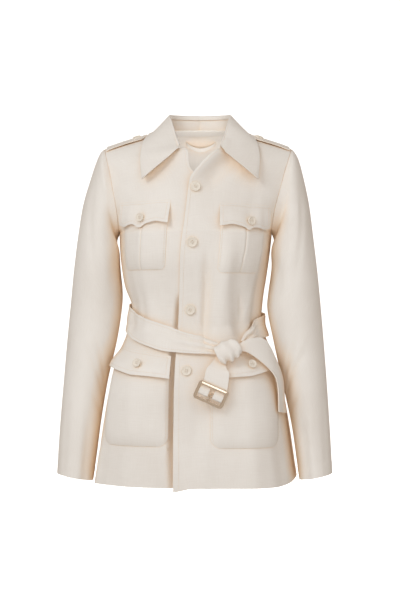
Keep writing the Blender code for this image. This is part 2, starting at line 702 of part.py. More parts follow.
def flap_grid(face, flap, columns, rows):
    """A flap sewn along its top, lying over the pocket with its foot standing off."""
    grid = np.empty((rows, columns, 3))
    for j, across in enumerate(np.linspace(0, 1, columns)):
        top = flap.near_top + (flap.far_top - flap.near_top) * across
        foot = outline_foot(flap, across)
        for i, down in enumerate(np.linspace(0, 1, rows)):
            z = top + (foot - top) * down
            distance = flap.near + (flap.far - flap.near) * across
            lift = LIE + 0.0006 + flap.lift * ease(down / 0.45) * (1 - 0.12 * (2 * across - 1) ** 4)
            grid[i, j] = face.raised(distance, z, lift)[0]
    return grid


def slid(piece, side, place):
    """A pocket or flap moved to where it sits on one front."""
    slide = SLIDE[side]
    out, up = (slide.chest_out, slide.chest_up) if place == "chest" else (slide.hip_out, slide.hip_up)
    heights = [field for field in piece._fields if field.endswith(("top", "foot"))]
    moved = {field: getattr(piece, field) + up for field in heights}
    return piece._replace(near=piece.near + out, far=piece.far + out, **moved)


def build_pockets(faces):
    plan = (("chest", CHEST_POCKET, CHEST_FLAP, 9, 8, 11), ("hip", HIP_POCKET, HIP_FLAP, 12, 11, 13))
    for word, side in (("left", 1), ("right", -1)):
        face = faces[("front", side)]
        for place, pocket, flap, columns, rows, flap_columns in plan:
            grid = pocket_grid(face, slid(pocket, side, place), columns, rows)
            cloth(f"{place}_pocket_{word}", grid, grow=1, flip=side > 0)
            grid = flap_grid(face, slid(flap, side, place), flap_columns, 5)
            cloth(f"{place}_flap_{word}", grid, grow=1, flip=side > 0)


def button_mesh(name, radius):
    """A turned button: flat back, raised rim and dished face."""
    ring = [(0.0, 0.0), (0.86, 0.0), (1.0, 0.35), (0.97, 0.9), (0.86, 1.0), (0.72, 0.72), (0.0, 0.66)]
    count = 12
    sheet = bmesh.new()
    loops = []
    for share, height in ring[1:-1]:
        loops.append([sheet.verts.new((radius * share * math.cos(2 * math.pi * k / count),
                                       radius * share * math.sin(2 * math.pi * k / count),
                                       BUTTON_THICK * height)) for k in range(count)])
    sheet.faces.new(loops[0][::-1])
    sheet.faces.new(loops[-1])
    for low, high in zip(loops, loops[1:]):
        for k in range(count):
            m = (k + 1) % count
            sheet.faces.new((low[k], low[m], high[m], high[k]))
    mesh = bpy.data.meshes.new(name)
    sheet.to_mesh(mesh)
    sheet.free()
    return mesh


def put_button(name, radius, spot, normal):
    thing = add_object(name, button_mesh(name, radius), PEARL, 0.35)
    turn = Vector(normal).to_track_quat("Z", "Y").to_matrix().to_4x4()
    thing.matrix_world = Matrix.Translation(Vector(spot)) @ turn
    return thing


def build_buttons(faces):
    left = faces[("front", 1)]
    for number, z in enumerate(FRONT_BUTTON_Z, 1):
        spot, normal = left.raised(0.0, z, 0.0012)
        put_button(f"front_button_{number}", FRONT_BUTTON, spot, normal)
    for word, side in (("left", 1), ("right", -1)):
        face = faces[("front", side)]
        for place, flap, z in (("chest", CHEST_FLAP, CHEST_BUTTON_Z), ("hip", HIP_FLAP, HIP_BUTTON_Z)):
            flap = slid(flap, side, place)
            middle = (flap.near + flap.far) / 2 + BUTTON_OUT[(place, side)]
            up = SLIDE[side].chest_up if place == "chest" else SLIDE[side].hip_up
            spot, normal = face.raised(middle, z + up, LIE + flap.lift + CLOTH + 0.0012)
            put_button(f"{place}_button_{word}", FLAP_BUTTON, spot, normal)


def build_epaulettes(tree):
    """Straps laid along the shoulder from the sleeve seam to the collar, pointed at the neck end."""
    for word, side in (("left", 1), ("right", -1)):
        stations = np.linspace(0.1800, 0.1095, 9)
        rows = []
        for k, x in enumerate(stations):
            reach = (0.1800 - x) / 0.0705
            half = 0.0215 - 0.003 * reach
            half = half * min(1.0, 0.30 + 6.0 * (1.0 - reach))
            row = []
            for across in np.linspace(-1, 1, 6):
                y = 0.004 + across * half
                spot, normal, _, _ = tree.ray_cast(Vector((side * x - 0.002, y, 0.2)), Vector((0, 0, -1)))
                lift = 0.0014 + 0.0010 * math.sin(math.pi * min(1.0, reach * 1.1)) + 0.0010 * reach
                row.append(np.array(spot) + np.array(normal) * lift)
            rows.append(row)
        grid = np.array(rows)
        cloth(f"epaulette_{word}", grid, 0.0018, grow=1, flip=side < 0)
        spot = (grid[-3, 2] + grid[-3, 3]) / 2
        normal = np.cross(grid[-2, 2] - grid[-4, 2], grid[-3, 4] - grid[-3, 1])
        normal = normal / np.linalg.norm(normal)
        normal = normal if normal[2] > 0 else -normal
        put_button(f"epaulette_button_{word}", FLAP_BUTTON, spot + normal * 0.0034, normal)


def belt_row(faces, turn, z, half_width, columns, lift):
    """Points across the belt at a turn from the middle front, foot to head."""
    turn = (turn + 180) % 360 - 180
    side = 1 if turn >= 0 else -1
    size = abs(turn)
    half = "front" if size <= 90 else "back"
    share = size / 90 if half == "front" else (180 - size) / 90
    face = faces[(half, side)]
    row = []
    for across in np.linspace(-1, 1, columns):
        crown = 0.0012 * (1 - across ** 2)
        row.append(face.raised(share, z + across * half_width, lift + crown, True)[0])
    return row


def build_belt(faces):
    rows = []
    for table, turns in ((BELT_RIGHT, np.linspace(24, -180, 35)), (BELT_LEFT, np.linspace(180, 40, 24)[1:])):
        values = along([row.turn for row in table], [row[1:] for row in table], turns)
        for turn, (z, half_width) in zip(turns, values):
            rows.append(belt_row(faces, turn, z, half_width, 4, BELT_LIFT))
    cloth("belt_band", np.array(rows), BELT_CLOTH, grow=1, flip=False)


def knot_axes():
    """Directions along the belt, across it and out of the knot."""
    tilt, turn, lean = (math.radians(angle) for angle in (KNOT_TILT, KNOT_TURN, KNOT_LEAN))
    out = np.array([math.sin(turn), -math.cos(turn), 0])
    flat = np.array([math.cos(turn), math.sin(turn), 0])
    up = np.array([0, 0, 1.0])
    across = up * math.cos(tilt) - flat * math.sin(tilt)
    leaning = across * math.cos(lean) - out * math.sin(lean)
    return flat * math.cos(tilt) + up * math.sin(tilt), leaning, out * math.cos(lean) + across * math.sin(lean)


def build_knot():
    """The wrap of the knot: a band bent over the crossing, tucked in above and open over the ends below."""
    along_belt, across_belt, out = knot_axes()
    rows = []
    for angle in np.radians(np.linspace(-58, 97, 11)):
        row = []
        for share in np.linspace(-1, 1, 7):
            narrow = 0.78 + 0.22 * math.cos(angle)
            swell = 1 - 0.20 * share ** 2
            row.append(np.array(KNOT_AT) + along_belt * KNOT_ALONG * share * narrow
                       + across_belt * KNOT_ACROSS * math.sin(angle) * swell
                       + out * KNOT_OUT * math.cos(angle) * swell)
        rows.append(row)
    cloth("belt_knot", np.array(rows), BELT_CLOTH)


def buckle_matrix():
    lean = Matrix.Rotation(math.radians(BUCKLE_LEAN), 4, "X")
    tilt = Matrix.Rotation(-math.radians(BUCKLE_TILT), 4, "Y")
    return Matrix.Translation(Vector(BUCKLE_AT)) @ tilt @ lean


def buckle_ring(count=8):
    """A round wire bent to a rounded oblong, standing in the XZ plane."""
    wide, tall, corner = BUCKLE_WIDE / 2 - BUCKLE_WIRE, BUCKLE_TALL / 2 - BUCKLE_WIRE, 0.005
    path = []
    for quarter, (sx, sz) in enumerate(((1, 1), (-1, 1), (-1, -1), (1, -1))):
        for step in range(4):
            angle = math.radians(90 * quarter + 30 * step)
            path.append((sx * (wide - corner) + corner * math.cos(angle),
                         sz * (tall - corner) + corner * math.sin(angle)))
    path = np.array(path)
    tangent = np.roll(path, -1, axis=0) - np.roll(path, 1, axis=0)
    tangent = tangent / np.linalg.norm(tangent, axis=1)[:, None]
    grid = []
    for (x, z), (tx, tz) in zip(path, tangent):
        ring = []
        for k in range(count):
            angle = 2 * math.pi * (k + 0.5) / count
            side, out = BUCKLE_WIRE * math.cos(angle), BUCKLE_WIRE * math.sin(angle)
            ring.append((x + tz * side, out, z - tx * side))
        grid.append(ring)
    return np.array(grid + grid[:1])


def rod_mesh(name, path, radius, count=8):
    """A closed round rod along a path that lies in the YZ plane or along X."""
    path = np.asarray(path, float)
    tangent = np.gradient(path, axis=0)
    tangent = tangent / np.linalg.norm(tangent, axis=1)[:, None]
    flat = abs(tangent[0, 0]) < 0.5
    side = np.array([1.0, 0, 0]) if flat else np.array([0, 1.0, 0])
    sheet = bmesh.new()
    loops = []
    for spot, ahead in zip(path, tangent):
        other = np.cross(ahead, side)
        turns = [2 * math.pi * (k + 0.5) / count for k in range(count)]
        loops.append([sheet.verts.new(spot + radius * (math.cos(t) * side + math.sin(t) * other)) for t in turns])
    for low, high in zip(loops, loops[1:]):
        for k in range(count):
            m = (k + 1) % count
            sheet.faces.new((low[k], low[m], high[m], high[k]))
    sheet.faces.new(loops[0][::-1])
    sheet.faces.new(loops[-1])
    bmesh.ops.recalc_face_normals(sheet, faces=sheet.faces)
    mesh = bpy.data.meshes.new(name)
    sheet.to_mesh(mesh)
    sheet.free()
    return mesh


def prong_path():
    """A curl round the bar, which is its origin, that runs down to rest in front of the frame's foot."""
    curl = BAR_RADIUS + PRONG_TUBE + 0.0004
    path = []
    for angle in np.radians(np.linspace(250, 0, 9)):
        path.append((0, -curl * math.cos(angle), curl * math.sin(angle)))
    rest = -(BUCKLE_WIRE + PRONG_TUBE + 0.0005)
    foot = BAR_DROP - BUCKLE_TALL / 2 + BUCKLE_WIRE
    path.append((0, rest, -0.0050))
    path.append((0, rest, foot - 0.0015))
    return path


def build_buckle():
    frame = add_object("buckle_frame", grid_mesh("buckle_frame", [buckle_ring()], wrap=True), GOLD, 0.2, 1.0)
    reach = BUCKLE_WIDE / 2 - BUCKLE_WIRE
    bar = add_object("buckle_bar", rod_mesh("buckle_bar", [(-reach, 0, -BAR_DROP), (reach, 0, -BAR_DROP)],
                                            BAR_RADIUS), GOLD, 0.2, 1.0, CUTTERS)
    prong = add_object("buckle_prong", rod_mesh("buckle_prong", prong_path(), PRONG_TUBE, 6), GOLD, 0.2, 1.0)
    for thing in (frame, bar):
        thing.matrix_world = buckle_matrix()
    prong.matrix_world = buckle_matrix() @ Matrix.Translation(Vector((0, 0, -BAR_DROP)))
    bar.hide_render = True
    bar.hide_viewport = True
    join = frame.modifiers.new("bar", "BOOLEAN")
    join.operation = "UNION"
    join.solver = "EXACT"
    join.object = bar


def loop_path():
    """Height and depth of the belt's end in the buckle: behind its head, round its bar, up behind."""
    half_wall = BELT_CLOTH / 2
    behind = BUCKLE_WIRE + half_wall + 0.0006
    wrap = BAR_RADIUS + half_wall + 0.0005
    head = BUCKLE_TALL / 2
    path = [(head + 0.005, behind), (head - 0.0024, behind), (head - 0.0090, 0.0020)]
    path.append((-BAR_DROP + 0.0055, -0.0026))
    for angle in np.radians(np.linspace(-8, 188, 8)):
        path.append((-BAR_DROP - wrap * math.sin(angle), -wrap * math.cos(angle)))
    path.extend([(0.0030, 0.0050), (head - 0.0110, 0.0062)])
    return path


def build_tails(tree):
    """The free end, and the end that carries the buckle with a slot for its prong."""
    rows = np.array([[(row.ax, row.ay, row.az), (row.bx, row.by, row.bz)] for row in FREE_TAIL])
    edges = flowing(rows, 14)
    share = np.linspace(0, 1, 4)[None, :, None]
    grid = clear_of(tree, edges[:, :1] * (1 - share) + edges[:, 1:] * share, 0.0090)
    cloth("belt_tail_free", grid, BELT_CLOTH, grow=0)
    rows = np.array([[(row.ax, row.ay, row.az), (row.bx, row.by, row.bz)] for row in BUCKLE_TAIL])
    rows = [list(row) for row in flowing(rows, 5)]
    place = np.array(buckle_matrix())
    half = BUCKLE_WIDE / 2 - 2 * BUCKLE_WIRE - 0.0016
    slot_from = len(rows) + 2
    for z, y in loop_path():
        rows.append([(place @ np.array([x, y, z, 1.0]))[:3] for x in (-half, half)])
    edges = np.array(rows)
    share = np.linspace(0, 1, 6)[None, :, None]
    grid = edges[:, :1] * (1 - share) + edges[:, 1:] * share
    slot_to = len(rows) - 2
    cloth("belt_tail_buckle", grid, BELT_CLOTH, grow=0,
          skip=lambda i, j: j == 2 and slot_from <= i <= slot_to - 1)


def build_loop(faces):
    """The strip inside the back neck, sewn at both ends and sagging between them."""
    rows = []
    for t in np.linspace(0, 1, 9):
        x = LOOP_SPAN[0] + (LOOP_SPAN[1] - LOOP_SPAN[0]) * t
        sag = LOOP_SAG * math.sin(math.pi * t) ** 0.8
        face = faces[("back", 1 if x >= 0 else -1)]
        row = []
        for across in (0.0, 0.5, 1.0):
            z = -0.0150 - sag - LOOP_WIDE * across
            off = LOOP_STAND * math.sin(math.pi * t) ** 0.7
            inside, _ = face.raised(abs(x), z, -(CLOTH + 2.4 * LIE + off))
            row.append(inside)
        rows.append(row)
    cloth("hanger_loop", np.array(rows), 0.0012)


FACES = {(half, side): Face(half, side) for half in ("front", "back") for side in (1, -1)}
TREE = body_tree()
build_body()
build_sleeves()
build_collar(TREE)
build_pockets(FACES)
build_buttons(FACES)
build_epaulettes(TREE)
build_belt(FACES)
build_knot()
build_tails(TREE)
build_buckle()
build_loop(FACES)
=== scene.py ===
# %% [markdown]
# # A belted field jacket, looked at closely
# The jacket stands hollow, as a person would fill it, with nobody inside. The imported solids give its
# true form. This lesson lays finer cloth over that form: creases, stitching, weave, turned buttons
# and a polished buckle. It starts by loading the solids, which are never moved.

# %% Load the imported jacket
import math
from collections import namedtuple

import bmesh
import bpy
import numpy as np
from mathutils import Matrix, Vector
from mathutils.bvhtree import BVHTree


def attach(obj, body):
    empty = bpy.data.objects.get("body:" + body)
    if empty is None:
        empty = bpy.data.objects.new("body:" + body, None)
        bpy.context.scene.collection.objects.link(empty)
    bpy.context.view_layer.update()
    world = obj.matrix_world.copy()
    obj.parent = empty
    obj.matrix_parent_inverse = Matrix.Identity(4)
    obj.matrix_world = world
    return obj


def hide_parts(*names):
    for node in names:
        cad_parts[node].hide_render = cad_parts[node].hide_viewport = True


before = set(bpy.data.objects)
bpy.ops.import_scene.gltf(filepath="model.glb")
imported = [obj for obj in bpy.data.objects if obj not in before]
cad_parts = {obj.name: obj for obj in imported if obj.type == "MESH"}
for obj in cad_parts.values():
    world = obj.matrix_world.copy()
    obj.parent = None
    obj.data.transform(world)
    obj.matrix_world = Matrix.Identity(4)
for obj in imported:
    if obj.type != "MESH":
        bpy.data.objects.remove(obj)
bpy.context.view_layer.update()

# %% [markdown]
# ## Camera
# A photo of a garment is taken level and from far away, so that upright lines stay upright. A short lens
# close by would show as much, but it swells the near front and bends the hem. So the camera stands over
# three metres off, level with the waist, with a long lens.

# %% Camera
CAMERA_AT = (0.002, -3.2, -0.34)
LENS = 96
SENSOR_WIDE = 36

camera = bpy.data.objects.new("camera", bpy.data.cameras.new("camera"))
camera.data.lens = LENS
camera.data.sensor_width = SENSOR_WIDE
camera.location = CAMERA_AT
camera.rotation_euler = (math.pi / 2, 0, 0)
bpy.context.scene.collection.objects.link(camera)
bpy.context.scene.camera = camera
bpy.context.scene.view_settings.view_transform = "Standard"
print("camera at", CAMERA_AT, "lens", LENS)

# %% [markdown]
# ## Floor
# A studio has a cove: pale paper that curves up far off. One bend would do for the front alone, so it is
# turned all round like a bowl, and no corner shows from any side. The paper glows a little, as lit paper
# does. Cloth and metal don't see that glow: it would wash out the folds and turn the buckle white.

# %% Floor
FLOOR_Z = -1.02
FLOOR_MIDDLE = 0.02
FLOOR_RADIUS = 4.2
COVE_RADIUS = 1.4
COVE_TOP = 5.0


def pale_cove():
    """A round floor that curves up into a wall far behind the camera's places."""
    profile = [(FLOOR_MIDDLE, FLOOR_Z), (FLOOR_RADIUS, FLOOR_Z)]
    for angle in np.radians(np.linspace(-80, 0, 9)):
        profile.append((FLOOR_RADIUS + COVE_RADIUS * math.cos(angle),
                        FLOOR_Z + COVE_RADIUS + COVE_RADIUS * math.sin(angle)))
    profile.append((FLOOR_RADIUS + COVE_RADIUS, COVE_TOP))
    turns = np.radians(np.arange(0, 360, 5))
    count = len(turns)
    points = [(radius * math.cos(turn), radius * math.sin(turn), z)
              for radius, z in profile for turn in turns]
    faces = []
    for low in range(0, (len(profile) - 1) * count, count):
        high = low + count
        for k in range(count):
            ahead = (k + 1) % count
            faces.append((low + k, low + ahead, high + ahead, high + k))
    mesh = bpy.data.meshes.new("pale_cove")
    mesh.from_pydata(points, [], faces + [tuple(range(count))[::-1]])
    mesh.polygons.foreach_set("use_smooth", [True] * len(mesh.polygons))
    cove = bpy.data.objects.new("pale_cove", mesh)
    bpy.context.scene.collection.objects.link(cove)
    cove.visible_diffuse = False
    cove.visible_glossy = False
    return cove


COVE = pale_cove()
print("cove faces:", len(COVE.data.polygons))

# %% [markdown]
# ## Lamps
# Large soft lamps suit cloth: a key from the upper left models the folds, and a front lamp near the lens
# reaches into the neck. A weak fill and a lamp behind keep the other sides readable. A small one glints in
# the buckle's head, and a tiny one lights the inside of the neck. Light from the world alone would be
# simpler, but it flattens cloth, so it only adds warmth.

# %% Lamps
Lamp = namedtuple("Lamp", "name at aim size power tint mirrored")
LAMPS = [
    Lamp("key", (-1.70, -2.2, 1.35), (0.0, 0.0, -0.33), 1.2, 28, (0.93, 0.975, 1.0), False),
    Lamp("front", (-0.10, -3.6, -0.32), (0.0, 0.0, -0.30), 0.7, 29, (0.95, 0.98, 1.0), False),
    Lamp("fill", (1.7, -2.1, 1.10), (0.0, 0.0, -0.40), 0.9, 3.5, (1.0, 0.98, 0.96), True),
    Lamp("back", (0.3, 3.3, 0.6), (0.0, 0.0, -0.35), 1.6, 50, (1.0, 0.99, 0.98), True),
    Lamp("glint", (0.61, -1.69, 0.655), (0.03, -0.17, -0.51), 0.5, 1.2, (1.0, 1.0, 1.0), True),
    Lamp("inside", (0.004, -0.050, -0.080), (0.004, 0.100, -0.045), 0.06, 0.088, (1.0, 0.96, 0.92), False),
]
AIR_TINT = (1.0, 0.88, 0.77, 1.0)
AIR_STRENGTH = 0.47


def add_lamp(lamp):
    """A square lamp that shines on its aim and isn't seen itself, in metal only where it is mirrored."""
    light = bpy.data.lights.new(lamp.name, "AREA")
    light.shape = "SQUARE"
    light.size = lamp.size
    light.energy = lamp.power
    light.color = lamp.tint
    thing = bpy.data.objects.new(lamp.name, light)
    thing.location = lamp.at
    thing.rotation_euler = (Vector(lamp.aim) - Vector(lamp.at)).to_track_quat("-Z", "Y").to_euler()
    thing.visible_camera = False
    thing.visible_glossy = lamp.mirrored
    bpy.context.scene.collection.objects.link(thing)


for lamp in LAMPS:
    add_lamp(lamp)
world = bpy.data.worlds.new("studio_air")
world.use_nodes = True
air = world.node_tree.nodes["Background"]
air.inputs["Color"].default_value = AIR_TINT
air.inputs["Strength"].default_value = AIR_STRENGTH
bpy.context.scene.world = world
print("lamps:", [lamp.name for lamp in LAMPS])

# %% [markdown]
# ## A helper for finishes
# A finish in Blender is a tree of nodes joined by wires. Each node could be wired by hand in the shader
# editor, or with several lines of script apiece. A small class makes that one line, so that the finishes
# below read like recipes.

# %% A small helper for wiring finishes
class Finish:
    """A material that is wired one short call at a time."""

    def __init__(self, name):
        self.material = bpy.data.materials.new(name)
        self.material.use_nodes = True
        self.tree = self.material.node_tree
        self.shader = self.tree.nodes["Principled BSDF"]

    def add(self, kind, values=None, **settings):
        node = self.tree.nodes.new("ShaderNode" + kind)
        for key, value in settings.items():
            setattr(node, key, value)
        for key, value in (values or {}).items():
            self.put(node.inputs[key], value)
        return node

    def put(self, socket, value):
        if isinstance(value, bpy.types.NodeSocket):
            self.tree.links.new(value, socket)
        else:
            socket.default_value = value

    def set(self, **values):
        for key, value in values.items():
            self.put(self.shader.inputs[key.replace("_", " ")], value)

    def ramp(self, factor, stops):
        node = self.add("ValToRGB", {"Fac": factor})
        elements = node.color_ramp.elements
        while len(elements) < len(stops):
            elements.new(0.5)
        for element, (place, colour) in zip(elements, stops):
            element.position = place
            element.color = (*colour, 1.0)
        return node.outputs["Color"]


print("finish helper ready")

# %% [markdown]
# ## Ivory cotton
# The cloth is a matte plain weave. A picture of cloth could be wrapped round it, but it would repeat and
# blur close up. Waves and noise don't. Every sheet carries its flat cut as a UV map in metres, so warp and
# weft follow the piece as it was cut. Real yarn is uneven, so slubs run both ways and the colour drifts.
# Where cloth lies near cloth, shade is painted in: the colour is mixed toward tan, standing in for shade and
# the warm light that bounces between two layers.

# %% Ivory cotton
YARN = 0.00085
# How near other cloth must lie for the colour to be darkened into painted shade
PAINTED_SHADE_REACH = 0.038


def ivory_cotton(name, light, dark, fold, yarn=YARN):
    """Plain woven cotton: warp and weft, slubs, soft drifts of colour, painted warm shade where cloth lies
    near cloth, and a little sheen.
    """
    cloth = Finish(name)
    cut = cloth.add("UVMap", uv_map="cut").outputs["UV"]
    place = cloth.add("TexCoord").outputs["Object"]
    waves = []
    for direction in ("X", "Y"):
        wave = cloth.add("TexWave", {"Vector": cut, "Scale": 2 * math.pi / (20 * yarn), "Distortion": 0.7,
                                     "Detail": 1.0, "Detail Scale": 0.4}, bands_direction=direction)
        waves.append(wave.outputs["Fac"])
    weave = cloth.add("Math", {0: waves[0], 1: waves[1]}, operation="MULTIPLY").outputs["Value"]
    slubs = []
    for scale in ((30, 700, 1), (700, 30, 1)):
        stretched = cloth.add("Mapping", {"Vector": cut, "Scale": scale}).outputs["Vector"]
        slubs.append(cloth.add("TexNoise", {"Vector": stretched, "Scale": 1.0, "Detail": 2.0}).outputs["Fac"])
    slub = cloth.add("Math", {0: slubs[0], 1: slubs[1]}, operation="ADD").outputs["Value"]
    drift = cloth.add("TexNoise", {"Vector": place, "Scale": 7.0, "Detail": 3.0, "Roughness": 0.55})
    mixed = cloth.add("Math", {0: slub, 1: 0.35, 2: drift.outputs["Fac"]}, operation="MULTIPLY_ADD")
    tone = cloth.ramp(mixed.outputs["Value"], [(0.62, dark), (1.05, light)])
    # Painted shade: where other cloth lies near, the colour is mixed toward the tan given as fold, standing
    # in for shade and warm bounced light
    shade_ao = cloth.add("AmbientOcclusion", {"Distance": PAINTED_SHADE_REACH}, samples=2).outputs["AO"]
    unshaded_share = cloth.add("MapRange", {"Value": shade_ao, "From Min": 0.25, "From Max": 0.78}).outputs["Result"]
    painted_shade_tone = cloth.add("Mix", data_type="RGBA")
    cloth.put(painted_shade_tone.inputs[0], unshaded_share)
    cloth.put(painted_shade_tone.inputs[6], (*fold, 1.0))
    cloth.put(painted_shade_tone.inputs[7], tone)
    height = cloth.add("Math", {0: slub, 1: 0.6, 2: weave}, operation="MULTIPLY_ADD").outputs["Value"]
    bump = cloth.add("Bump", {"Height": height, "Strength": 0.22, "Distance": 0.00025}).outputs["Normal"]
    rough = cloth.add("MapRange", {"Value": weave, "To Min": 0.92, "To Max": 0.80}).outputs["Result"]
    cloth.set(Base_Color=painted_shade_tone.outputs[2], Normal=bump, Roughness=rough, Specular_IOR_Level=0.12)
    cloth.set(Sheen_Weight=0.04, Sheen_Roughness=0.5, Sheen_Tint=(1.0, 0.95, 0.88, 1.0))
    return cloth.material


LIGHT_IVORY = (0.865, 0.845, 0.815)
DARK_IVORY = (0.805, 0.775, 0.738)
# The tan of the painted shade, mixed in where cloth lies near cloth
PAINTED_SHADE_TAN = (0.90, 0.705, 0.505)
IVORY = ivory_cotton("ivory_cotton", LIGHT_IVORY, DARK_IVORY, PAINTED_SHADE_TAN)
print("cloth finish:", IVORY.name)

# %% [markdown]
# ## Thread, horn, gold and paper
# Beside the cloth there are twisted cotton thread, cream horn for the buttons, pale gold plate for the buckle
# and the paper of the floor. A plain colour for each would look like plastic. Noise at the size of
# the real twist, streaks or rubbing marks moves the colour, and on horn and gold the polish as well.

# %% Thread, horn, gold and paper
def sewing_thread():
    """Twisted cotton thread, a touch lighter than the cloth."""
    thread = Finish("sewing_thread")
    place = thread.add("TexCoord").outputs["Object"]
    twist = thread.add("TexNoise", {"Vector": place, "Scale": 900.0, "Detail": 1.0}).outputs["Fac"]
    tone = thread.ramp(twist, [(0.3, (0.70, 0.61, 0.51)), (0.7, (0.84, 0.76, 0.66))])
    thread.set(Base_Color=tone, Roughness=0.6, Sheen_Weight=0.3)
    return thread.material


def cream_horn():
    """Cream button stock with soft streaks under a polished face."""
    horn = Finish("cream_horn")
    place = horn.add("TexCoord").outputs["Object"]
    clouds = horn.add("TexNoise", {"Vector": place, "Scale": 160.0, "Detail": 4.0, "Distortion": 1.6})
    streak = clouds.outputs["Fac"]
    tone = horn.ramp(streak, [(0.28, (0.77, 0.71, 0.62)), (0.52, (0.83, 0.78, 0.70)),
                              (0.8, (0.87, 0.83, 0.77))])
    rough = horn.add("MapRange", {"Value": streak, "To Min": 0.38, "To Max": 0.52}).outputs["Result"]
    horn.set(Base_Color=tone, Roughness=rough, Coat_Weight=0.12, Coat_Roughness=0.3)
    return horn.material


def pale_gold():
    """Polished pale gold plate with faint rubbing marks."""
    gold = Finish("pale_gold")
    place = gold.add("TexCoord").outputs["Object"]
    marks = gold.add("TexNoise", {"Vector": place, "Scale": 420.0, "Detail": 5.0, "Roughness": 0.7})
    rub = marks.outputs["Fac"]
    tone = gold.ramp(rub, [(0.3, (0.84, 0.71, 0.57)), (0.75, (0.94, 0.84, 0.72))])
    rough = gold.add("MapRange", {"Value": rub, "To Min": 0.14, "To Max": 0.24}).outputs["Result"]
    gold.set(Base_Color=tone, Roughness=rough, Metallic=1.0)
    return gold.material


def pale_floor():
    """Matte lit paper for the floor, with a very faint grain."""
    paper = Finish("pale_floor")
    place = paper.add("TexCoord").outputs["Object"]
    grain = paper.add("TexNoise", {"Vector": place, "Scale": 3.0, "Detail": 2.0}).outputs["Fac"]
    tone = paper.ramp(grain, [(0.3, (0.93, 0.93, 0.925)), (0.7, (0.95, 0.95, 0.945))])
    paper.set(Base_Color=tone, Roughness=0.9, Emission_Color=tone, Emission_Strength=0.92)
    return paper.material


THREAD = sewing_thread()
HORN = cream_horn()
GOLD = pale_gold()
COVE.data.materials.append(pale_floor())
print("finishes:", [finish.name for finish in (IVORY, THREAD, HORN, GOLD)])

# %% [markdown]
# ## Smooth curves
# A pattern cutter joins marked points with a bent strip of wood. Blender has Bezier curves for that, but
# they have to be placed by eye. Two short functions do it for whole tables: one never swings past its
# points, which suits a body, and the other flows through them, which suits tubes and bands.

# %% Smooth curves
def cubic(start, end, lead, trail, t):
    """A curve from start to end with the slopes lead and trail."""
    return (start * (1 + 2 * t) * (1 - t) ** 2 + end * t * t * (3 - 2 * t)
            + lead * t * (1 - t) ** 2 - trail * t * t * (1 - t))


def along(keys, values, at):
    """A smooth curve through rows of values that never swings past them, read at any keys."""
    keys = np.asarray(keys, float)
    values = np.asarray(values, float).reshape(len(keys), -1)
    if keys[0] > keys[-1]:
        keys, values = keys[::-1], values[::-1]
    step = np.diff(keys)[:, None]
    rise = np.diff(values, axis=0) / step
    slope = np.zeros_like(values)
    slope[0], slope[-1] = rise[0], rise[-1]
    before, after = rise[:-1], rise[1:]
    same = before * after > 0
    safe = np.where(same, before + after, 1.0)
    slope[1:-1] = np.where(same, 2 * before * after / safe, 0.0)
    at = np.asarray(at, float)
    flat = np.clip(at.ravel(), keys[0], keys[-1])
    i = np.clip(np.searchsorted(keys, flat) - 1, 0, len(keys) - 2)
    h = step[i]
    t = (flat - keys[i])[:, None] / h
    curve = cubic(values[i], values[i + 1], slope[i] * h, slope[i + 1] * h, t)
    return curve.reshape(at.shape + (values.shape[1],))


def flowing(rows, count):
    """Rows of points joined by an even smooth curve, read at count places."""
    rows = np.asarray(rows, float)
    last = len(rows) - 1
    at = np.linspace(0, last, count)
    i = np.minimum(at.astype(int), last - 1)
    t = (at - i).reshape((-1,) + (1,) * (rows.ndim - 1))
    before = rows[np.maximum(i - 1, 0)]
    after = rows[np.minimum(i + 2, last)]
    lead = (rows[i + 1] - before) / 2
    trail = (after - rows[i]) / 2
    return cubic(rows[i], rows[i + 1], lead, trail, t)


def ease(t):
    """A soft step from 0 to 1."""
    t = np.clip(t, 0.0, 1.0)
    return t * t * (3 - 2 * t)


print("middle of a soft step:", ease(0.5))

# %% [markdown]
# ## The form in levels
# A pattern cutter thinks in levels: hem, hip, waist, chest, armhole, shoulder. The body could be sculpted,
# but then no level could be measured. These tables are the ones that the solids were drawn from, so the
# finer cloth lies on them, and smooth curves make it round where the solids have flat facets.

# %% Levels of the body
# Level rings from the hem to the armpit
Ring = namedtuple("Ring", "z half_width side_y front_y back_y")
RINGS = [
    Ring(-0.700, 0.1985, 0.010, -0.152, 0.136),
    Ring(-0.640, 0.1915, 0.010, -0.149, 0.132),
    Ring(-0.580, 0.1830, 0.009, -0.145, 0.127),
    Ring(-0.520, 0.1725, 0.008, -0.140, 0.119),
    Ring(-0.470, 0.1615, 0.007, -0.132, 0.109),
    Ring(-0.435, 0.1490, 0.006, -0.122, 0.098),
    Ring(-0.410, 0.1385, 0.005, -0.114, 0.090),
    Ring(-0.385, 0.1315, 0.004, -0.109, 0.085),
    Ring(-0.360, 0.1335, 0.004, -0.109, 0.085),
    Ring(-0.330, 0.1370, 0.004, -0.112, 0.088),
    Ring(-0.295, 0.1430, 0.004, -0.119, 0.093),
    Ring(-0.250, 0.1490, 0.005, -0.127, 0.100),
]

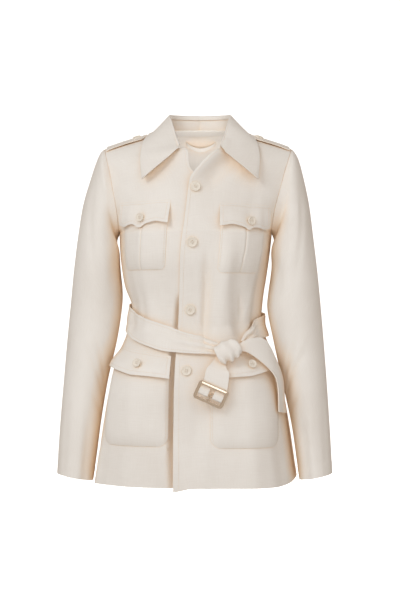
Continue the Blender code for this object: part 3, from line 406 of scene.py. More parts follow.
# Rows from the armpit up to the shoulder seam: the armhole end, the middle end, the bend between
# them in degrees, and where each front's free edge or neckline lies, measured from the middle
Yoke = namedtuple("Yoke", "side_x side_y side_z mid_y mid_z bend left_edge right_edge")
FRONT_YOKE = [
    Yoke(0.1520, 0.005, -0.2100, -0.128, -0.2100, 90, -0.020, -0.020),
    Yoke(0.1500, -0.036, -0.2000, -0.1265, -0.1980, 75, -0.019, -0.019),
    Yoke(0.1520, -0.055, -0.1750, -0.122, -0.1700, 62, -0.017, -0.018),
    Yoke(0.1580, -0.060, -0.1450, -0.112, -0.1370, 52, -0.015, -0.015),
    Yoke(0.1630, -0.058, -0.1250, -0.103, -0.1080, 46, -0.0125, -0.006),
    Yoke(0.1680, -0.053, -0.1050, -0.093, -0.0762, 40, 0.006, 0.014),
    Yoke(0.1735, -0.045, -0.0830, -0.082, -0.0410, 36, 0.034, 0.0205),
    Yoke(0.1790, -0.035, -0.0640, -0.070, -0.0350, 34, 0.043, 0.043),
    Yoke(0.1845, -0.015, -0.0445, -0.036, -0.0045, 30, 0.060, 0.060),
    Yoke(0.1870, 0.005, -0.0380, 0.008, 0.0207, 15, 0.066, 0.066),
]
BACK_YOKE = [
    Yoke(0.1520, 0.005, -0.2100, 0.104, -0.2100, 90, 0, 0),
    Yoke(0.1510, 0.043, -0.2000, 0.106, -0.1900, 75, 0, 0),
    Yoke(0.1540, 0.064, -0.1750, 0.107, -0.1550, 62, 0, 0),
    Yoke(0.1590, 0.071, -0.1450, 0.104, -0.1180, 52, 0, 0),
    Yoke(0.1640, 0.071, -0.1200, 0.098, -0.0880, 46, 0, 0),
    Yoke(0.1690, 0.067, -0.0980, 0.090, -0.0580, 42, 0, 0),
    Yoke(0.1740, 0.060, -0.0800, 0.081, -0.0330, 38, 0, 0),
    Yoke(0.1800, 0.047, -0.0590, 0.0715, -0.0105, 34, 0, 0),
    Yoke(0.1850, 0.026, -0.0440, 0.045, 0.0085, 28, 0.050, 0.050),
    Yoke(0.1870, 0.005, -0.0380, 0.008, 0.0207, 15, 0.066, 0.066),
]
print("levels:", len(RINGS), "below the armpit,", len(FRONT_YOKE), "above")

# %% [markdown]
# ## Stance and large folds
# A jacket never hangs quite straight: the skirt is turned a little against the shoulders, and the belt
# gathers the cloth in large folds. A cloth simulation would find folds, but not these. So each fold is one
# row of numbers: where it starts and ends, how wide it is and how far it stands out.

# %% Stance and large folds
# How the standing jacket is turned and leans, by height
Stance = namedtuple("Stance", "z turn shift")
STANCE = [
    Stance(-0.70, -8.0, -0.0045),
    Stance(-0.47, -7.5, -0.0060),
    Stance(-0.36, -4.5, -0.0080),
    Stance(-0.28, -3.0, -0.0085),
    Stance(-0.20, -2.0, -0.0065),
    Stance(-0.11, -1.0, -0.0040),
    Stance(-0.04, -0.5, -0.0020),
    Stance(0.03, 0.0, 0.0010),
]

# The largest folds: place round each half at head and foot (0 middle, 1 the wearer's left seam, -1 the
# right), heights of head and foot, width as a share, and how far out they stand
Fold = namedtuple("Fold", "half head foot head_z foot_z width head_rise foot_rise")
FOLDS = [
    Fold("front", 0.30, 0.36, -0.265, -0.400, 0.060, 0.0015, 0.0060),
    Fold("front", 0.44, 0.48, -0.265, -0.400, 0.070, -0.0015, -0.0055),
    Fold("front", 0.66, 0.62, -0.250, -0.385, 0.080, 0.0020, 0.0055),
    Fold("front", -0.42, -0.38, -0.275, -0.400, 0.070, 0.0010, 0.0050),
    Fold("front", -0.66, -0.60, -0.265, -0.390, 0.080, -0.0010, -0.0050),
    Fold("front", 0.50, 0.56, -0.500, -0.720, 0.100, 0.0005, 0.0060),
    Fold("front", 0.25, 0.22, -0.520, -0.720, 0.090, 0.0005, -0.0040),
    Fold("front", -0.60, -0.66, -0.500, -0.720, 0.120, 0.0005, 0.0050),
    Fold("back", 0.34, 0.26, -0.230, -0.375, 0.070, 0.0015, 0.0060),
    Fold("back", -0.30, -0.30, -0.240, -0.375, 0.070, 0.0015, 0.0055),
    Fold("back", 0.52, 0.60, -0.420, -0.720, 0.110, 0.0010, 0.0080),
    Fold("back", -0.40, -0.48, -0.420, -0.720, 0.120, 0.0010, 0.0070),
    Fold("back", 0.08, 0.04, -0.420, -0.720, 0.130, 0.0010, -0.0060),
]
print("large folds:", len(FOLDS))

# %% [markdown]
# ## Creases
# Creases are smaller than folds: where the belt gathers the waist, where an arm pulls at the chest, where
# a skirt swings. A noise texture could give some, but cloth creases along its strain and not at random.
# So each one is a line on the flat cut with its own width and height, a soft ridge or groove that fades at
# its ends. They are given one by one and no two are alike, because a repeated pattern would look printed.

# %% Creases of the body
Crease = namedtuple("Crease", "u0 v0 u1 v1 width rise bow")
FRONT_CREASES = [
    Crease(0.030, -0.245, 0.034, -0.440, 0.011, -0.0062, 0.003),
    Crease(0.072, -0.235, 0.066, -0.440, 0.022, 0.0085, -0.002),
    Crease(0.178, -0.250, 0.165, -0.440, 0.045, -0.0110, 0.004),
    Crease(0.113, -0.325, 0.128, -0.380, 0.007, -0.0026, 0.001),
    Crease(0.002, -0.365, 0.036, -0.430, 0.008, -0.0012, 0.002),
    Crease(-0.048, -0.315, -0.042, -0.405, 0.011, -0.0013, 0.002),
    Crease(-0.084, -0.330, -0.074, -0.405, 0.013, 0.0016, -0.003),
    Crease(-0.122, -0.310, -0.108, -0.400, 0.012, -0.0016, 0.002),
    Crease(0.150, -0.300, 0.134, -0.385, 0.010, 0.0014, 0.002),
    Crease(0.040, -0.500, 0.008, -0.665, 0.020, -0.0024, -0.004),
    Crease(-0.036, -0.560, -0.030, -0.715, 0.016, 0.0018, 0.003),
    Crease(0.030, -0.590, 0.036, -0.715, 0.014, 0.0022, -0.002),
    Crease(-0.120, -0.620, -0.126, -0.760, 0.018, -0.0020, 0.004),
    Crease(0.104, -0.570, 0.108, -0.780, 0.018, 0.0050, -0.002),
    Crease(0.150, -0.580, 0.156, -0.780, 0.020, -0.0030, 0.002),
    Crease(-0.158, -0.600, -0.164, -0.780, 0.014, 0.0042, -0.002),
    Crease(0.172, -0.110, 0.140, -0.205, 0.024, -0.0012, 0.004),
    Crease(-0.170, -0.105, -0.146, -0.195, 0.022, -0.0010, -0.003),
    Crease(0.196, -0.160, 0.128, -0.235, 0.011, 0.0012, 0.005),
    Crease(-0.196, -0.165, -0.136, -0.225, 0.012, 0.0010, -0.004),
    Crease(0.010, -0.126, 0.066, -0.098, 0.010, -0.0009, 0.002),
    Crease(-0.012, -0.240, -0.060, -0.262, 0.012, -0.0007, 0.002),
    Crease(0.004, -0.236, 0.052, -0.262, 0.012, -0.0008, -0.002),
]
BACK_CREASES = [
    Crease(0.034, -0.290, 0.020, -0.380, 0.011, -0.0024, 0.003),
    Crease(0.074, -0.270, 0.056, -0.380, 0.013, 0.0024, -0.003),
    Crease(0.118, -0.300, 0.100, -0.380, 0.010, -0.0018, 0.002),
    Crease(-0.042, -0.300, -0.034, -0.380, 0.010, -0.0022, -0.002),
    Crease(-0.090, -0.260, -0.070, -0.380, 0.014, 0.0024, 0.003),
    Crease(-0.128, -0.310, -0.112, -0.380, 0.010, -0.0016, -0.002),
    Crease(0.128, -0.090, 0.098, -0.215, 0.020, -0.0024, 0.005),
    Crease(-0.132, -0.100, -0.104, -0.200, 0.018, -0.0022, -0.005),
    Crease(0.190, -0.150, 0.140, -0.250, 0.013, 0.0014, 0.004),
    Crease(-0.190, -0.160, -0.146, -0.240, 0.013, 0.0014, -0.004),
    Crease(0.052, -0.410, 0.062, -0.570, 0.017, -0.0024, 0.004),
    Crease(-0.060, -0.410, -0.078, -0.600, 0.019, -0.0026, -0.004),
    Crease(0.132, -0.420, 0.150, -0.610, 0.017, 0.0022, 0.003),
    Crease(-0.134, -0.420, -0.150, -0.580, 0.016, 0.0020, -0.003),
    Crease(0.010, -0.480, 0.006, -0.715, 0.022, 0.0026, 0.004),
    Crease(0.100, -0.560, 0.104, -0.715, 0.018, -0.0022, -0.003),
    Crease(-0.030, -0.110, 0.034, -0.118, 0.020, -0.0010, 0.006),
]


CREASE_PAST = 0.15
CREASE_FADE = 0.5


def crease_rise(rows, u, v):
    """How far a list of creases pushes the cloth out at places on its flat cut."""
    rise = np.zeros(np.broadcast(u, v).shape)
    for crease in rows:
        du, dv = crease.u1 - crease.u0, crease.v1 - crease.v0
        length = math.hypot(du, dv)
        t = ((u - crease.u0) * du + (v - crease.v0) * dv) / length ** 2
        off = ((u - crease.u0) * dv - (v - crease.v0) * du) / length + crease.bow * 4 * t * (1 - t)
        fade = ease((t + CREASE_PAST) / CREASE_FADE) * ease((1 + CREASE_PAST - t) / CREASE_FADE)
        across = (off / crease.width) ** 2
        rise = rise + crease.rise * fade * (1 - 0.5 * across) * np.exp(-across)
    return rise


print("creases:", len(FRONT_CREASES), "in front,", len(BACK_CREASES), "behind")

# %% [markdown]
# ## Sections and stance
# At every level the body is a rounded section, front half and back half. Rings of points could be lofted
# once, but pockets and belt have to find the cloth between the rings as well. So the tables are kept as
# rows and read at any level, and the stance is added afterwards to points that are already in place.

# %% Sections and stance
FRONT_LAP = -0.022


def section_rows(half):
    """One row per level of a half: side point, middle point, bend and the two free edges."""
    rows = []
    for ring in RINGS:
        middle = ring.front_y if half == "front" else ring.back_y
        lap = FRONT_LAP if half == "front" else 0.0
        rows.append((ring.half_width, ring.side_y, ring.z, middle, ring.z, 90, lap, lap))
    rows.extend(FRONT_YOKE if half == "front" else BACK_YOKE)
    return np.array(rows, float)


SECTIONS = {"front": section_rows("front"), "back": section_rows("back")}
TOP_LEVEL = len(SECTIONS["front"]) - 1
PIT_LEVEL = len(RINGS)


def section_at(half, level):
    """The eight measures of a half at any level, even between two rows."""
    return np.moveaxis(along(np.arange(TOP_LEVEL + 1), SECTIONS[half], level), -1, 0)


def stand(points):
    """Turn and shift points by their height, as the jacket stands."""
    keys = [row.z for row in STANCE]
    turn, shift = np.moveaxis(along(keys, [(row.turn, row.shift) for row in STANCE],
                                    points[..., 2]), -1, 0)
    cosine, sine = np.cos(np.radians(turn)), np.sin(np.radians(turn))
    x = points[..., 0] * cosine - points[..., 1] * sine + shift
    y = points[..., 0] * sine + points[..., 1] * cosine
    return np.stack([x, y, points[..., 2]], axis=-1)


print("levels in all:", TOP_LEVEL + 1, "armpit at level", PIT_LEVEL)

# %% [markdown]
# ## What moves the cloth out and in
# Folds push the cloth out, the belt draws the waist in, and at the lapped front one edge stands off while
# the front under it sinks. Shape keys could hold each of these, but only on a finished mesh. Small functions
# of place and height can simply be added up.

# %% Folds, waist and front edges
FOLD_FADE = 0.25
LAP_SINK = 0.0030
LAP_RISE = 0.0012
LAP_REACH = 0.045
SKIRT_LIFT = 0.0040
SKIRT_TOP = -0.445
SKIRT_RUN = 0.08
WAIST_PULL = 0.009
WAIST_PULL_AT = -0.350
WAIST_PULL_TALL = 0.022
WAIST_PULL_FROM = 0.35
WAIST_PULL_RUN = 0.65


def fold_rise(half, place, z):
    """How far the folds push the cloth out at a place round a half."""
    rise = np.zeros(np.broadcast(place, z).shape)
    for fold in FOLDS:
        if fold.half != half:
            continue
        down = (fold.head_z - z) / (fold.head_z - fold.foot_z)
        middle = fold.head + (fold.foot - fold.head) * down
        height = fold.head_rise + (fold.foot_rise - fold.head_rise) * np.clip(down, 0, 1)
        fade = ease(1 + down / FOLD_FADE) * ease(1 + (1 - down) / FOLD_FADE)
        rise = rise + height * fade * np.exp(-((place - middle) / fold.width) ** 2)
    return rise


def lap_rise(side, x, z):
    """Near the front edges the top front stands off and the one beneath sinks."""
    near = 1 - ease(x / LAP_REACH)
    if side < 0:
        return -LAP_SINK * near
    skirt = ease((SKIRT_TOP - z) / SKIRT_RUN)
    return (LAP_RISE + SKIRT_LIFT * skirt) * near


def waist_pull(side, share, z):
    """The belt draws the wearer's right side of the waist in."""
    if side > 0:
        return 0.0
    level = np.exp(-((z - WAIST_PULL_AT) / WAIST_PULL_TALL) ** 2)
    return -WAIST_PULL * level * ease((share - WAIST_PULL_FROM) / WAIST_PULL_RUN)


# The lapped edge by height: how far down, how far the front under it sinks, how far the edge stands out
# and how wide the sunk strip is past the edge
LapEdge = namedtuple("LapEdge", "down sink stand wide")
LAP_EDGE = [
    LapEdge(0.020, 0.000, 0.0000, 0.001),
    LapEdge(0.325, 0.000, 0.0000, 0.001),
    LapEdge(0.360, 0.011, 0.0010, 0.001),
    LapEdge(0.390, 0.012, 0.0010, 0.002),
    LapEdge(0.415, 0.006, 0.0000, 0.003),
    LapEdge(0.440, 0.016, 0.0015, 0.006),
    LapEdge(0.600, 0.016, 0.0030, 0.006),
    LapEdge(0.660, 0.009, 0.0030, 0.004),
    LapEdge(0.760, 0.005, 0.0030, 0.001),
]
LAP_OUT = 0.0226
LAP_WALL = 0.010
LAP_CURL = 0.020
SINK_BEFORE = 0.016
SINK_RUN = 0.010
# The neck edge of the lapped front: a ridge along its V and a shallow hollow beside it
NECK_ROLL = [
    Crease(0.088, -0.020, -0.046, -0.124, 0.020, 0.0080, 0.0),
    Crease(0.120, -0.046, 0.020, -0.124, 0.027, -0.0095, 0.0),
]


def edge_stand(side, x, z):
    """The lapped edge stands out, and the front under it hangs back."""
    down = [row.down for row in LAP_EDGE]
    sink, lift, wide = (np.interp(-z, down, [row[k] for row in LAP_EDGE]) for k in (1, 2, 3))
    if side > 0:
        return lift * np.exp(-((x + LAP_OUT) / LAP_CURL) ** 2)
    past = x - LAP_OUT
    return -sink * ease((past + SINK_BEFORE) / SINK_RUN) * (1 - ease((past - wide) / LAP_WALL))


print("waist drawn in by", WAIST_PULL, "edge rows:", len(LAP_EDGE))

# %% [markdown]
# ## The body's outer face
# The body is like a barrel that the belt pinches. Sculpting it would give the same look, but it could not
# be cut again into fronts and back. One function says where the cloth is at any share of a half and any
# level: the section first, then folds and creases pushed out of it, then the turn of the stance.

# %% The body's outer face
HALF_GIRTH = 0.25
SKIRT_FULLNESS = 0.095
BODICE_FULLNESS = 0.055
FULL_FROM = -0.43
FULL_RUN = 0.07
DEPTH_EASE = 0.02
SEAM_CALM = 0.12


def torso(half, side, share, level, lapped=True):
    """Outer face of a half of the body: share 0 at the middle, 1 at the side seam or armhole."""
    share, level = np.broadcast_arrays(np.asarray(share, float), np.asarray(level, float))
    side_x, side_y, side_z, mid_y, mid_z, bend, _, _ = section_at(half, level)
    bend = np.radians(bend)
    turn = share * bend
    out = np.sin(turn) / np.sin(bend)
    away = (1 - np.cos(turn)) / (1 - np.cos(bend))
    boxy = BODICE_FULLNESS + (SKIRT_FULLNESS - BODICE_FULLNESS) * ease((FULL_FROM - mid_z) / FULL_RUN)
    full = 1 + boxy * np.sin(2 * turn) ** 2 * (bend / (math.pi / 2)) ** 4
    x = side_x * out * full
    y = side_y + (mid_y - side_y) * (1 - away) * full
    z = mid_z + (side_z - mid_z) * out
    facing = -1.0 if half == "front" else 1.0
    depth = np.abs(mid_y - side_y) + DEPTH_EASE
    normal_x, normal_y = np.sin(turn) * depth, facing * np.cos(turn) * side_x
    length = np.hypot(normal_x, normal_y)
    creases = FRONT_CREASES if half == "front" else BACK_CREASES
    calm = ease((1.0 - np.abs(share)) / SEAM_CALM)
    rise = fold_rise(half, side * share, z) + waist_pull(side, share, z)
    rise = rise + calm * crease_rise(creases, side * share * HALF_GIRTH, z)
    if half == "front" and side > 0 and lapped:
        rise = rise + crease_rise(NECK_ROLL, share * HALF_GIRTH, z)
    if half == "front":
        rise = rise + lap_rise(side, x, z)
    if half == "front" and lapped:
        rise = rise + edge_stand(side, x, z)
    x = x + rise * normal_x / length
    y = y + rise * normal_y / length
    return stand(np.stack([side * x, y, z], axis=-1))


def edge_share(half, side, level):
    """The share at which a panel's free edge or neckline lies."""
    side_x, _, _, _, _, bend, left, right = section_at(half, level)
    edge = left if side > 0 else right
    bend = np.radians(bend)
    return np.arcsin(np.clip(edge / side_x * np.sin(bend), -1, 1)) / bend


print("hem middle front:", torso("front", 1, 0.0, 0.0).round(4))

# %% [markdown]
# ## Reading the body by tape measure
# Pockets, flaps and the belt are placed as a tailor does it: so far from the middle, at such a height. A
# Shrinkwrap modifier could press them on the body, but it loses those distances. A table of points, even in
# height and in distance, answers for thousands at once and gives the direction out of the cloth.

# %% Face tables
def sample(table, row, column):
    """Read a table of points between its rows and columns."""
    rows, columns = table.shape[:2]
    row, column = np.clip(row, 0, rows - 1.001), np.clip(column, 0, columns - 1.001)
    i, j = row.astype(int), column.astype(int)
    s, t = (row - i)[..., None], (column - j)[..., None]
    return ((table[i, j] * (1 - t) + table[i, j + 1] * t) * (1 - s)
            + (table[i + 1, j] * (1 - t) + table[i + 1, j + 1] * t) * s)


class Face:
    """The outer face of one half, read by distance from the middle, or by share, and height."""

    STEP = 0.0015
    LOW, HIGH = -0.706, 0.0
    NEAR, FAR = -0.08, 0.36
    FIRST_SHARE = -0.34
    TAPE = 0.004
    SHARE_TAPE = 0.016

    def __init__(self, half, side):
        share = np.linspace(self.FIRST_SHARE, 1.0, 181)
        levels = np.linspace(0, TOP_LEVEL - 1, 501)
        points = torso(half, side, share[None, :], levels[:, None], lapped=False)
        self.heights = np.arange(self.LOW, self.HIGH, self.STEP)
        self.outward = side * (1 if half == "front" else -1)
        lines = np.empty((len(self.heights), len(share), 3))
        for j in range(len(share)):
            for k in range(2):
                lines[:, j, k] = np.interp(self.heights, points[:, j, 2], points[:, j, k])
        lines[:, :, 2] = self.heights[:, None]
        run = np.cumsum(np.linalg.norm(np.diff(lines, axis=1), axis=2), axis=1)
        run = np.concatenate([np.zeros((len(lines), 1)), run], axis=1)
        self.reach = np.arange(self.NEAR, self.FAR, self.STEP)
        even = np.empty((len(lines), len(self.reach), 3))
        for i in range(len(lines)):
            start = np.interp(0.0, share, run[i])
            for k in range(3):
                even[i, :, k] = np.interp(self.reach, run[i] - start, lines[i, :, k])
        self.by_distance, self.by_share, self.share = even, lines, share

    def spot(self, distance, z, by_share=False):
        """Points on the face itself."""
        row = (z - self.heights[0]) / self.STEP
        if by_share:
            return sample(self.by_share, row, (distance - self.share[0]) / (self.share[1] - self.share[0]))
        return sample(self.by_distance, row, (distance - self.reach[0]) / self.STEP)

    def raised(self, distance, z, lift, by_share=False):
        """Points above the face by lift, along its own normal, and that normal."""
        distance, z, lift = np.broadcast_arrays(*(np.asarray(value, float) for value in (distance, z, lift)))
        step = self.SHARE_TAPE if by_share else self.TAPE
        across = self.spot(distance + step, z, by_share) - self.spot(distance - step, z, by_share)
        upward = self.spot(distance, z + self.TAPE, by_share) - self.spot(distance, z - self.TAPE, by_share)
        normal = np.cross(across, upward) * self.outward
        normal = normal / np.linalg.norm(normal, axis=-1, keepdims=True)
        return self.spot(distance, z, by_share) + normal * lift[..., None], normal


FACES = {(half, side): Face(half, side) for half in ("front", "back") for side in (1, -1)}
print("face tables:", FACES[("front", 1)].by_distance.shape)

# %% [markdown]
# ## Grids of cloth
# Each piece of cloth is a grid of points: rows down the cut, columns across it. A plane could be bent by
# hand, but a grid knows its own weave: the distance walked along it is the flat cut, kept as the UV map,
# and its slopes give the direction out of the cloth.

# %% Grids of cloth
def flat_cut(grid):
    """Distance walked across and down a grid, in metres."""
    across = np.linalg.norm(np.diff(grid, axis=1), axis=2)
    across = np.concatenate([np.zeros((len(grid), 1)), np.cumsum(across, axis=1)], axis=1)
    down = np.linalg.norm(np.diff(grid, axis=0), axis=2)
    down = np.concatenate([np.zeros((1, grid.shape[1])), np.cumsum(down, axis=0)], axis=0)
    return across, down


def grid_area(grid):
    """Area of a grid of points."""
    one, two = grid[1:, 1:] - grid[:-1, :-1], grid[1:, :-1] - grid[:-1, 1:]
    return float(np.linalg.norm(np.cross(one, two), axis=2).sum() / 2)


def grid_normals(grid, wrap=False):
    """The direction out of each point of a grid."""
    if wrap:
        across = np.roll(grid, -1, axis=1) - np.roll(grid, 1, axis=1)
    else:
        across = np.gradient(grid, axis=1)
    normal = np.cross(across, np.gradient(grid, axis=0))
    return normal / np.maximum(np.linalg.norm(normal, axis=2, keepdims=True), 1e-12)


def grid_mesh(name, grid, wrap=False, skip=None):
    """A mesh over a grid with its flat cut as UV map, in which the middle column stays straight."""
    rows, columns = grid.shape[:2]
    index = np.arange(rows * columns).reshape(rows, columns)
    whole = grid
    if wrap:
        index = np.concatenate([index, index[:, :1]], axis=1)
        whole = np.concatenate([grid, grid[:, :1]], axis=1)
    across, down = flat_cut(whole)
    across = across - across[:, [across.shape[1] // 2]]
    cut = np.stack([across, down], axis=-1)
    corners = [(slice(None, -1), slice(None, -1)), (slice(None, -1), slice(1, None)),
               (slice(1, None), slice(1, None)), (slice(1, None), slice(None, -1))]
    quads = np.stack([index[corner] for corner in corners], axis=-1)
    uv = np.stack([cut[corner] for corner in corners], axis=-2)
    keep = np.ones(quads.shape[:2], bool)
    if skip is not None:
        keep[skip] = False
    mesh = bpy.data.meshes.new(name)
    mesh.from_pydata(grid.reshape(-1, 3).tolist(), [], quads[keep].tolist())
    mesh.uv_layers.new(name="cut").data.foreach_set("uv", uv[keep].ravel())
    return mesh


one_metre = np.array([[(0, 0, 0), (1, 0, 0)], [(0, 1, 0), (1, 1, 0)]], float)
print("area of a square of one metre:", grid_area(one_metre))

# %% [markdown]
# ## Cutting a sheet
# Cloth has a thickness that shows at every cut edge. Two copies of a grid could be joined at their rims,
# but a Solidify modifier does it with an even wall. Its result is kept as a plain mesh. Every sheet takes
# the place of its own solid.

# %% Cutting a sheet
CLOTH = 0.0013
SHEETS = []


def settle(thing, name, sharp=48):
    """Keep what the modifiers make as a plain mesh with smooth faces and crisp edges."""
    bpy.context.view_layer.update()
    made = bpy.data.meshes.new_from_object(thing.evaluated_get(bpy.context.evaluated_depsgraph_get()))
    thing.modifiers.clear()
    thing.data = made
    made.name = name
    made.polygons.foreach_set("use_smooth", [True] * len(made.polygons))
    made.set_sharp_from_angle(angle=math.radians(sharp))


def add_piece(name, mesh, finish, body="jacket", node=None):
    """A finished mesh that rides on a body, and stands for a solid where one is named."""
    thing = bpy.data.objects.new(name, mesh)
    bpy.context.scene.collection.objects.link(thing)
    mesh.materials.clear()
    mesh.materials.append(finish)
    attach(thing, body)
    if node:
        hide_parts(node)
    return thing


def cut_sheet(node, grid, wall=CLOTH, grow=-1, flip=False, wrap=False, skip=None, held="hung", rests_on=()):
    """A wall of cloth over a grid, in place of a solid: grow -1 puts the wall behind the grid, 1 in front."""
    if flip:
        grid = grid[:, ::-1]
    thing = bpy.data.objects.new(node + "_cloth", grid_mesh(node + "_cloth", grid, wrap, skip))
    bpy.context.scene.collection.objects.link(thing)
    thing.data.materials.append(IVORY)
    thicken = thing.modifiers.new("wall", "SOLIDIFY")
    thicken.thickness = wall
    thicken.offset = grow
    thicken.use_even_offset = True
    thicken.use_quality_normals = True
    settle(thing, node + "_cloth")
    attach(thing, "jacket")
    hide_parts(node)
    whole = np.concatenate([grid, grid[:, :1]], axis=1) if wrap else grid
    across, down = flat_cut(whole)
    wide, long = float(across[:, -1].max()), float(down[-1].max())
    SHEETS.append((thing, wide, long, grid_area(whole), held, list(rests_on)))
    return thing


print("sheet maker ready, wall", CLOTH)

# %% [markdown]
# ## Sewing lines
# Topstitching is what tells a tailored jacket from a paper one. A bump texture could draw it, but it would
# vanish at a slant. So every stitch is a short, fat lens of thread that dives into the cloth at both
# ends. A line is given as a path over a sheet's grid, in shares of its width and length, and stitches are
# set along it at an even pitch.

# %% Stitches along a line
STITCH_PITCH = 0.0031
STITCH_LONG = 0.0024
STITCH_WIDE = 0.00055
STITCH_HIGH = 0.0004
STITCH_DEEP = 0.0002
STITCH_DIVE = 0.0001
STITCHED = {}


def on_grid(grid, across, down):
    """A point on a grid at shares of its width and length."""
    rows, columns = grid.shape[:2]
    return sample(grid, np.asarray(down, float) * (rows - 1), np.asarray(across, float) * (columns - 1))


def path_over(corners, count=240):
    """An even run of shares through corner shares."""
    corners = np.array(corners, float)
    at = np.linspace(0, len(corners) - 1, count * (len(corners) - 1))
    return np.stack([np.interp(at, np.arange(len(corners)), corners[:, k]) for k in range(2)], axis=-1)


def stitch_mesh(name, lines):
    """One mesh of stitches along lines of points with their outward directions."""
    points, faces = [], []
    for line, normal in lines:
        run = np.concatenate([[0], np.cumsum(np.linalg.norm(np.diff(line, axis=0), axis=1))])
        for place in np.arange(STITCH_PITCH / 2, run[-1], STITCH_PITCH):
            ends = [np.array([np.interp(place + shift, run, line[:, k]) for k in range(3)])
                    for shift in (-STITCH_LONG / 2, 0, STITCH_LONG / 2)]
            out = np.array([np.interp(place, run, normal[:, k]) for k in range(3)])
            out = out / np.linalg.norm(out)
            ahead = ends[2] - ends[0]
            side = np.cross(out, ahead)
            side = side / max(np.linalg.norm(side), 1e-12) * STITCH_WIDE / 2
            start = len(points)
            points += [ends[0] - out * STITCH_DIVE, ends[1] + side, ends[1] + out * STITCH_HIGH,
                       ends[1] - side, ends[1] - out * STITCH_DEEP, ends[2] - out * STITCH_DIVE]
            for a, b in ((1, 2), (2, 3), (3, 4), (4, 1)):
                faces += [(start, start + b, start + a), (start + 5, start + a, start + b)]
    mesh = bpy.data.meshes.new(name)
    mesh.from_pydata([tuple(point) for point in points], [], faces)
    mesh.polygons.foreach_set("use_smooth", [True] * len(faces))
    return mesh


def sew(node, grid, paths, lift, outward=1):
    """Stitches over a sheet along paths of shares, raised to its outer face."""
    normals = grid_normals(grid) * outward
    lines = []
    for corners in paths:
        shares = path_over(corners)
        normal = on_grid(normals, shares[:, 0], shares[:, 1])
        lines.append((on_grid(grid, shares[:, 0], shares[:, 1]) + normal * lift, normal))
    name = node + "_stitching"
    STITCHED[node] = add_piece(name, stitch_mesh(name, lines), THREAD)
    return STITCHED[node]


print("stitch pitch:", STITCH_PITCH)

# %% [markdown]
# ## Fronts and back
# The body is three pieces: two fronts that lap at the middle and one back. One tube could be slit open, but
# then the fronts could not lap. So each is cut from the same form by itself, with a fine gap at the side
# and shoulder seams. The front edges are topstitched; the hem is turned up inside, so it shows only as a
# soft ridge.

# %% Panels
SEAM = 0.0003
QUARTER_GIRTH = 0.2
SHOULDER_GAP = 0.0007
SHOULDER_FADE = 0.25
HEM_TURN = 0.024
HEM_RIDGE = 0.0005
HEM_SOFT = 0.003
HEM_REACH = 1.2
HEM_UP = 0.010
HEM_UP_FROM = 0.55
HEM_UP_RUN = 0.45
HEM_DIP = 0.006
HEM_DIP_REACH = 0.12


def panel_levels():
    """Levels of a panel's rows, closer together above the armpit."""
    lower = np.linspace(0, PIT_LEVEL, 100)[:-1]
    return np.concatenate([lower, PIT_LEVEL + np.linspace(0, TOP_LEVEL - PIT_LEVEL, 76)])


def panel_grid(half, side, columns, shoulder_gap=SHOULDER_GAP):
    """Points of one panel half from its free edge to the side seam and armhole."""
    level = panel_levels()[:, None]
    near = edge_share(half, side, level)
    far = 1.0 - SEAM / QUARTER_GIRTH
    share = near + (far - near) * np.linspace(0, 1, columns)[None, :]
    grid = torso(half, side, share, np.broadcast_to(level, share.shape))
    gap = shoulder_gap * ease((level - TOP_LEVEL + SHOULDER_FADE) / SHOULDER_FADE)
    grid[:, :, 1] += gap if half == "back" else -gap
    low = ease((HEM_REACH - level) / HEM_REACH)
    if side > 0:
        grid[:, :, 2] += HEM_UP * low * ease((share - HEM_UP_FROM) / HEM_UP_RUN)
    if side > 0 and half == "front":
        grid[:, :, 2] -= HEM_DIP * low * (1 - ease((share - near) / HEM_DIP_REACH))
    return grid


def hem_ridge(from_hem):
    """The turned-up hem: the cloth is doubled below its sewing line, so it stands out a little."""
    return HEM_RIDGE * ease((HEM_TURN + HEM_SOFT / 2 - from_hem) / HEM_SOFT)


FRONT_LEFT = panel_grid("front", 1, 72)
FRONT_RIGHT = panel_grid("front", -1, 72)
BACK_HALVES = [panel_grid("back", side, 66) for side in (1, -1)]
BACK = np.concatenate([BACK_HALVES[0][:, ::-1], BACK_HALVES[1][:, 1:]], axis=1)
for grid, turned in ((FRONT_LEFT, 1), (FRONT_RIGHT, -1), (BACK, 1)):
    grid += grid_normals(grid) * turned * hem_ridge(flat_cut(grid)[1])[..., None]
print("panels:", FRONT_LEFT.shape, FRONT_RIGHT.shape, BACK.shape)

# %% [markdown]
# ## Sewing up the body
# A maker joins the three panels and runs one row of stitches down each front edge. They could be welded
# into one mesh, but every piece has to stay a sheet that can be taken off. So each panel gets its own wall
# and says which sheets it rests on.

# %% Fronts and back
THREAD_LIFT = 0.0002
EDGE_INSET = 0.0075
FRONT_WIDE = 0.24

cut_sheet("front_left", FRONT_LEFT, held="hung", rests_on=["back_cloth", "sleeve_left_cloth"])
cut_sheet("front_right", FRONT_RIGHT, flip=True, held="hung", rests_on=["back_cloth", "sleeve_right_cloth"])
cut_sheet("back", BACK, held="hung", rests_on=["collar_stand_cloth"])
inset = EDGE_INSET / FRONT_WIDE
for node, grid, turned in (("front_left", FRONT_LEFT, 1), ("front_right", FRONT_RIGHT, -1)):
    sew(node, grid, [[(inset, 0.004), (inset, 0.60), (inset, 0.86)]], THREAD_LIFT, turned)
print("body cloth:", [sheet[0].name for sheet in SHEETS])

# %% [markdown]
# ## Sleeves
# A set-in sleeve grows out of the armhole and turns into a plain tube. A bent cylinder would leave a step
# at the shoulder, so the sleeve is given as rings by their outer and inner lines. An arm that hangs a little
# forward breaks the cloth at the elbow, and those creases run from the inside of the bend.

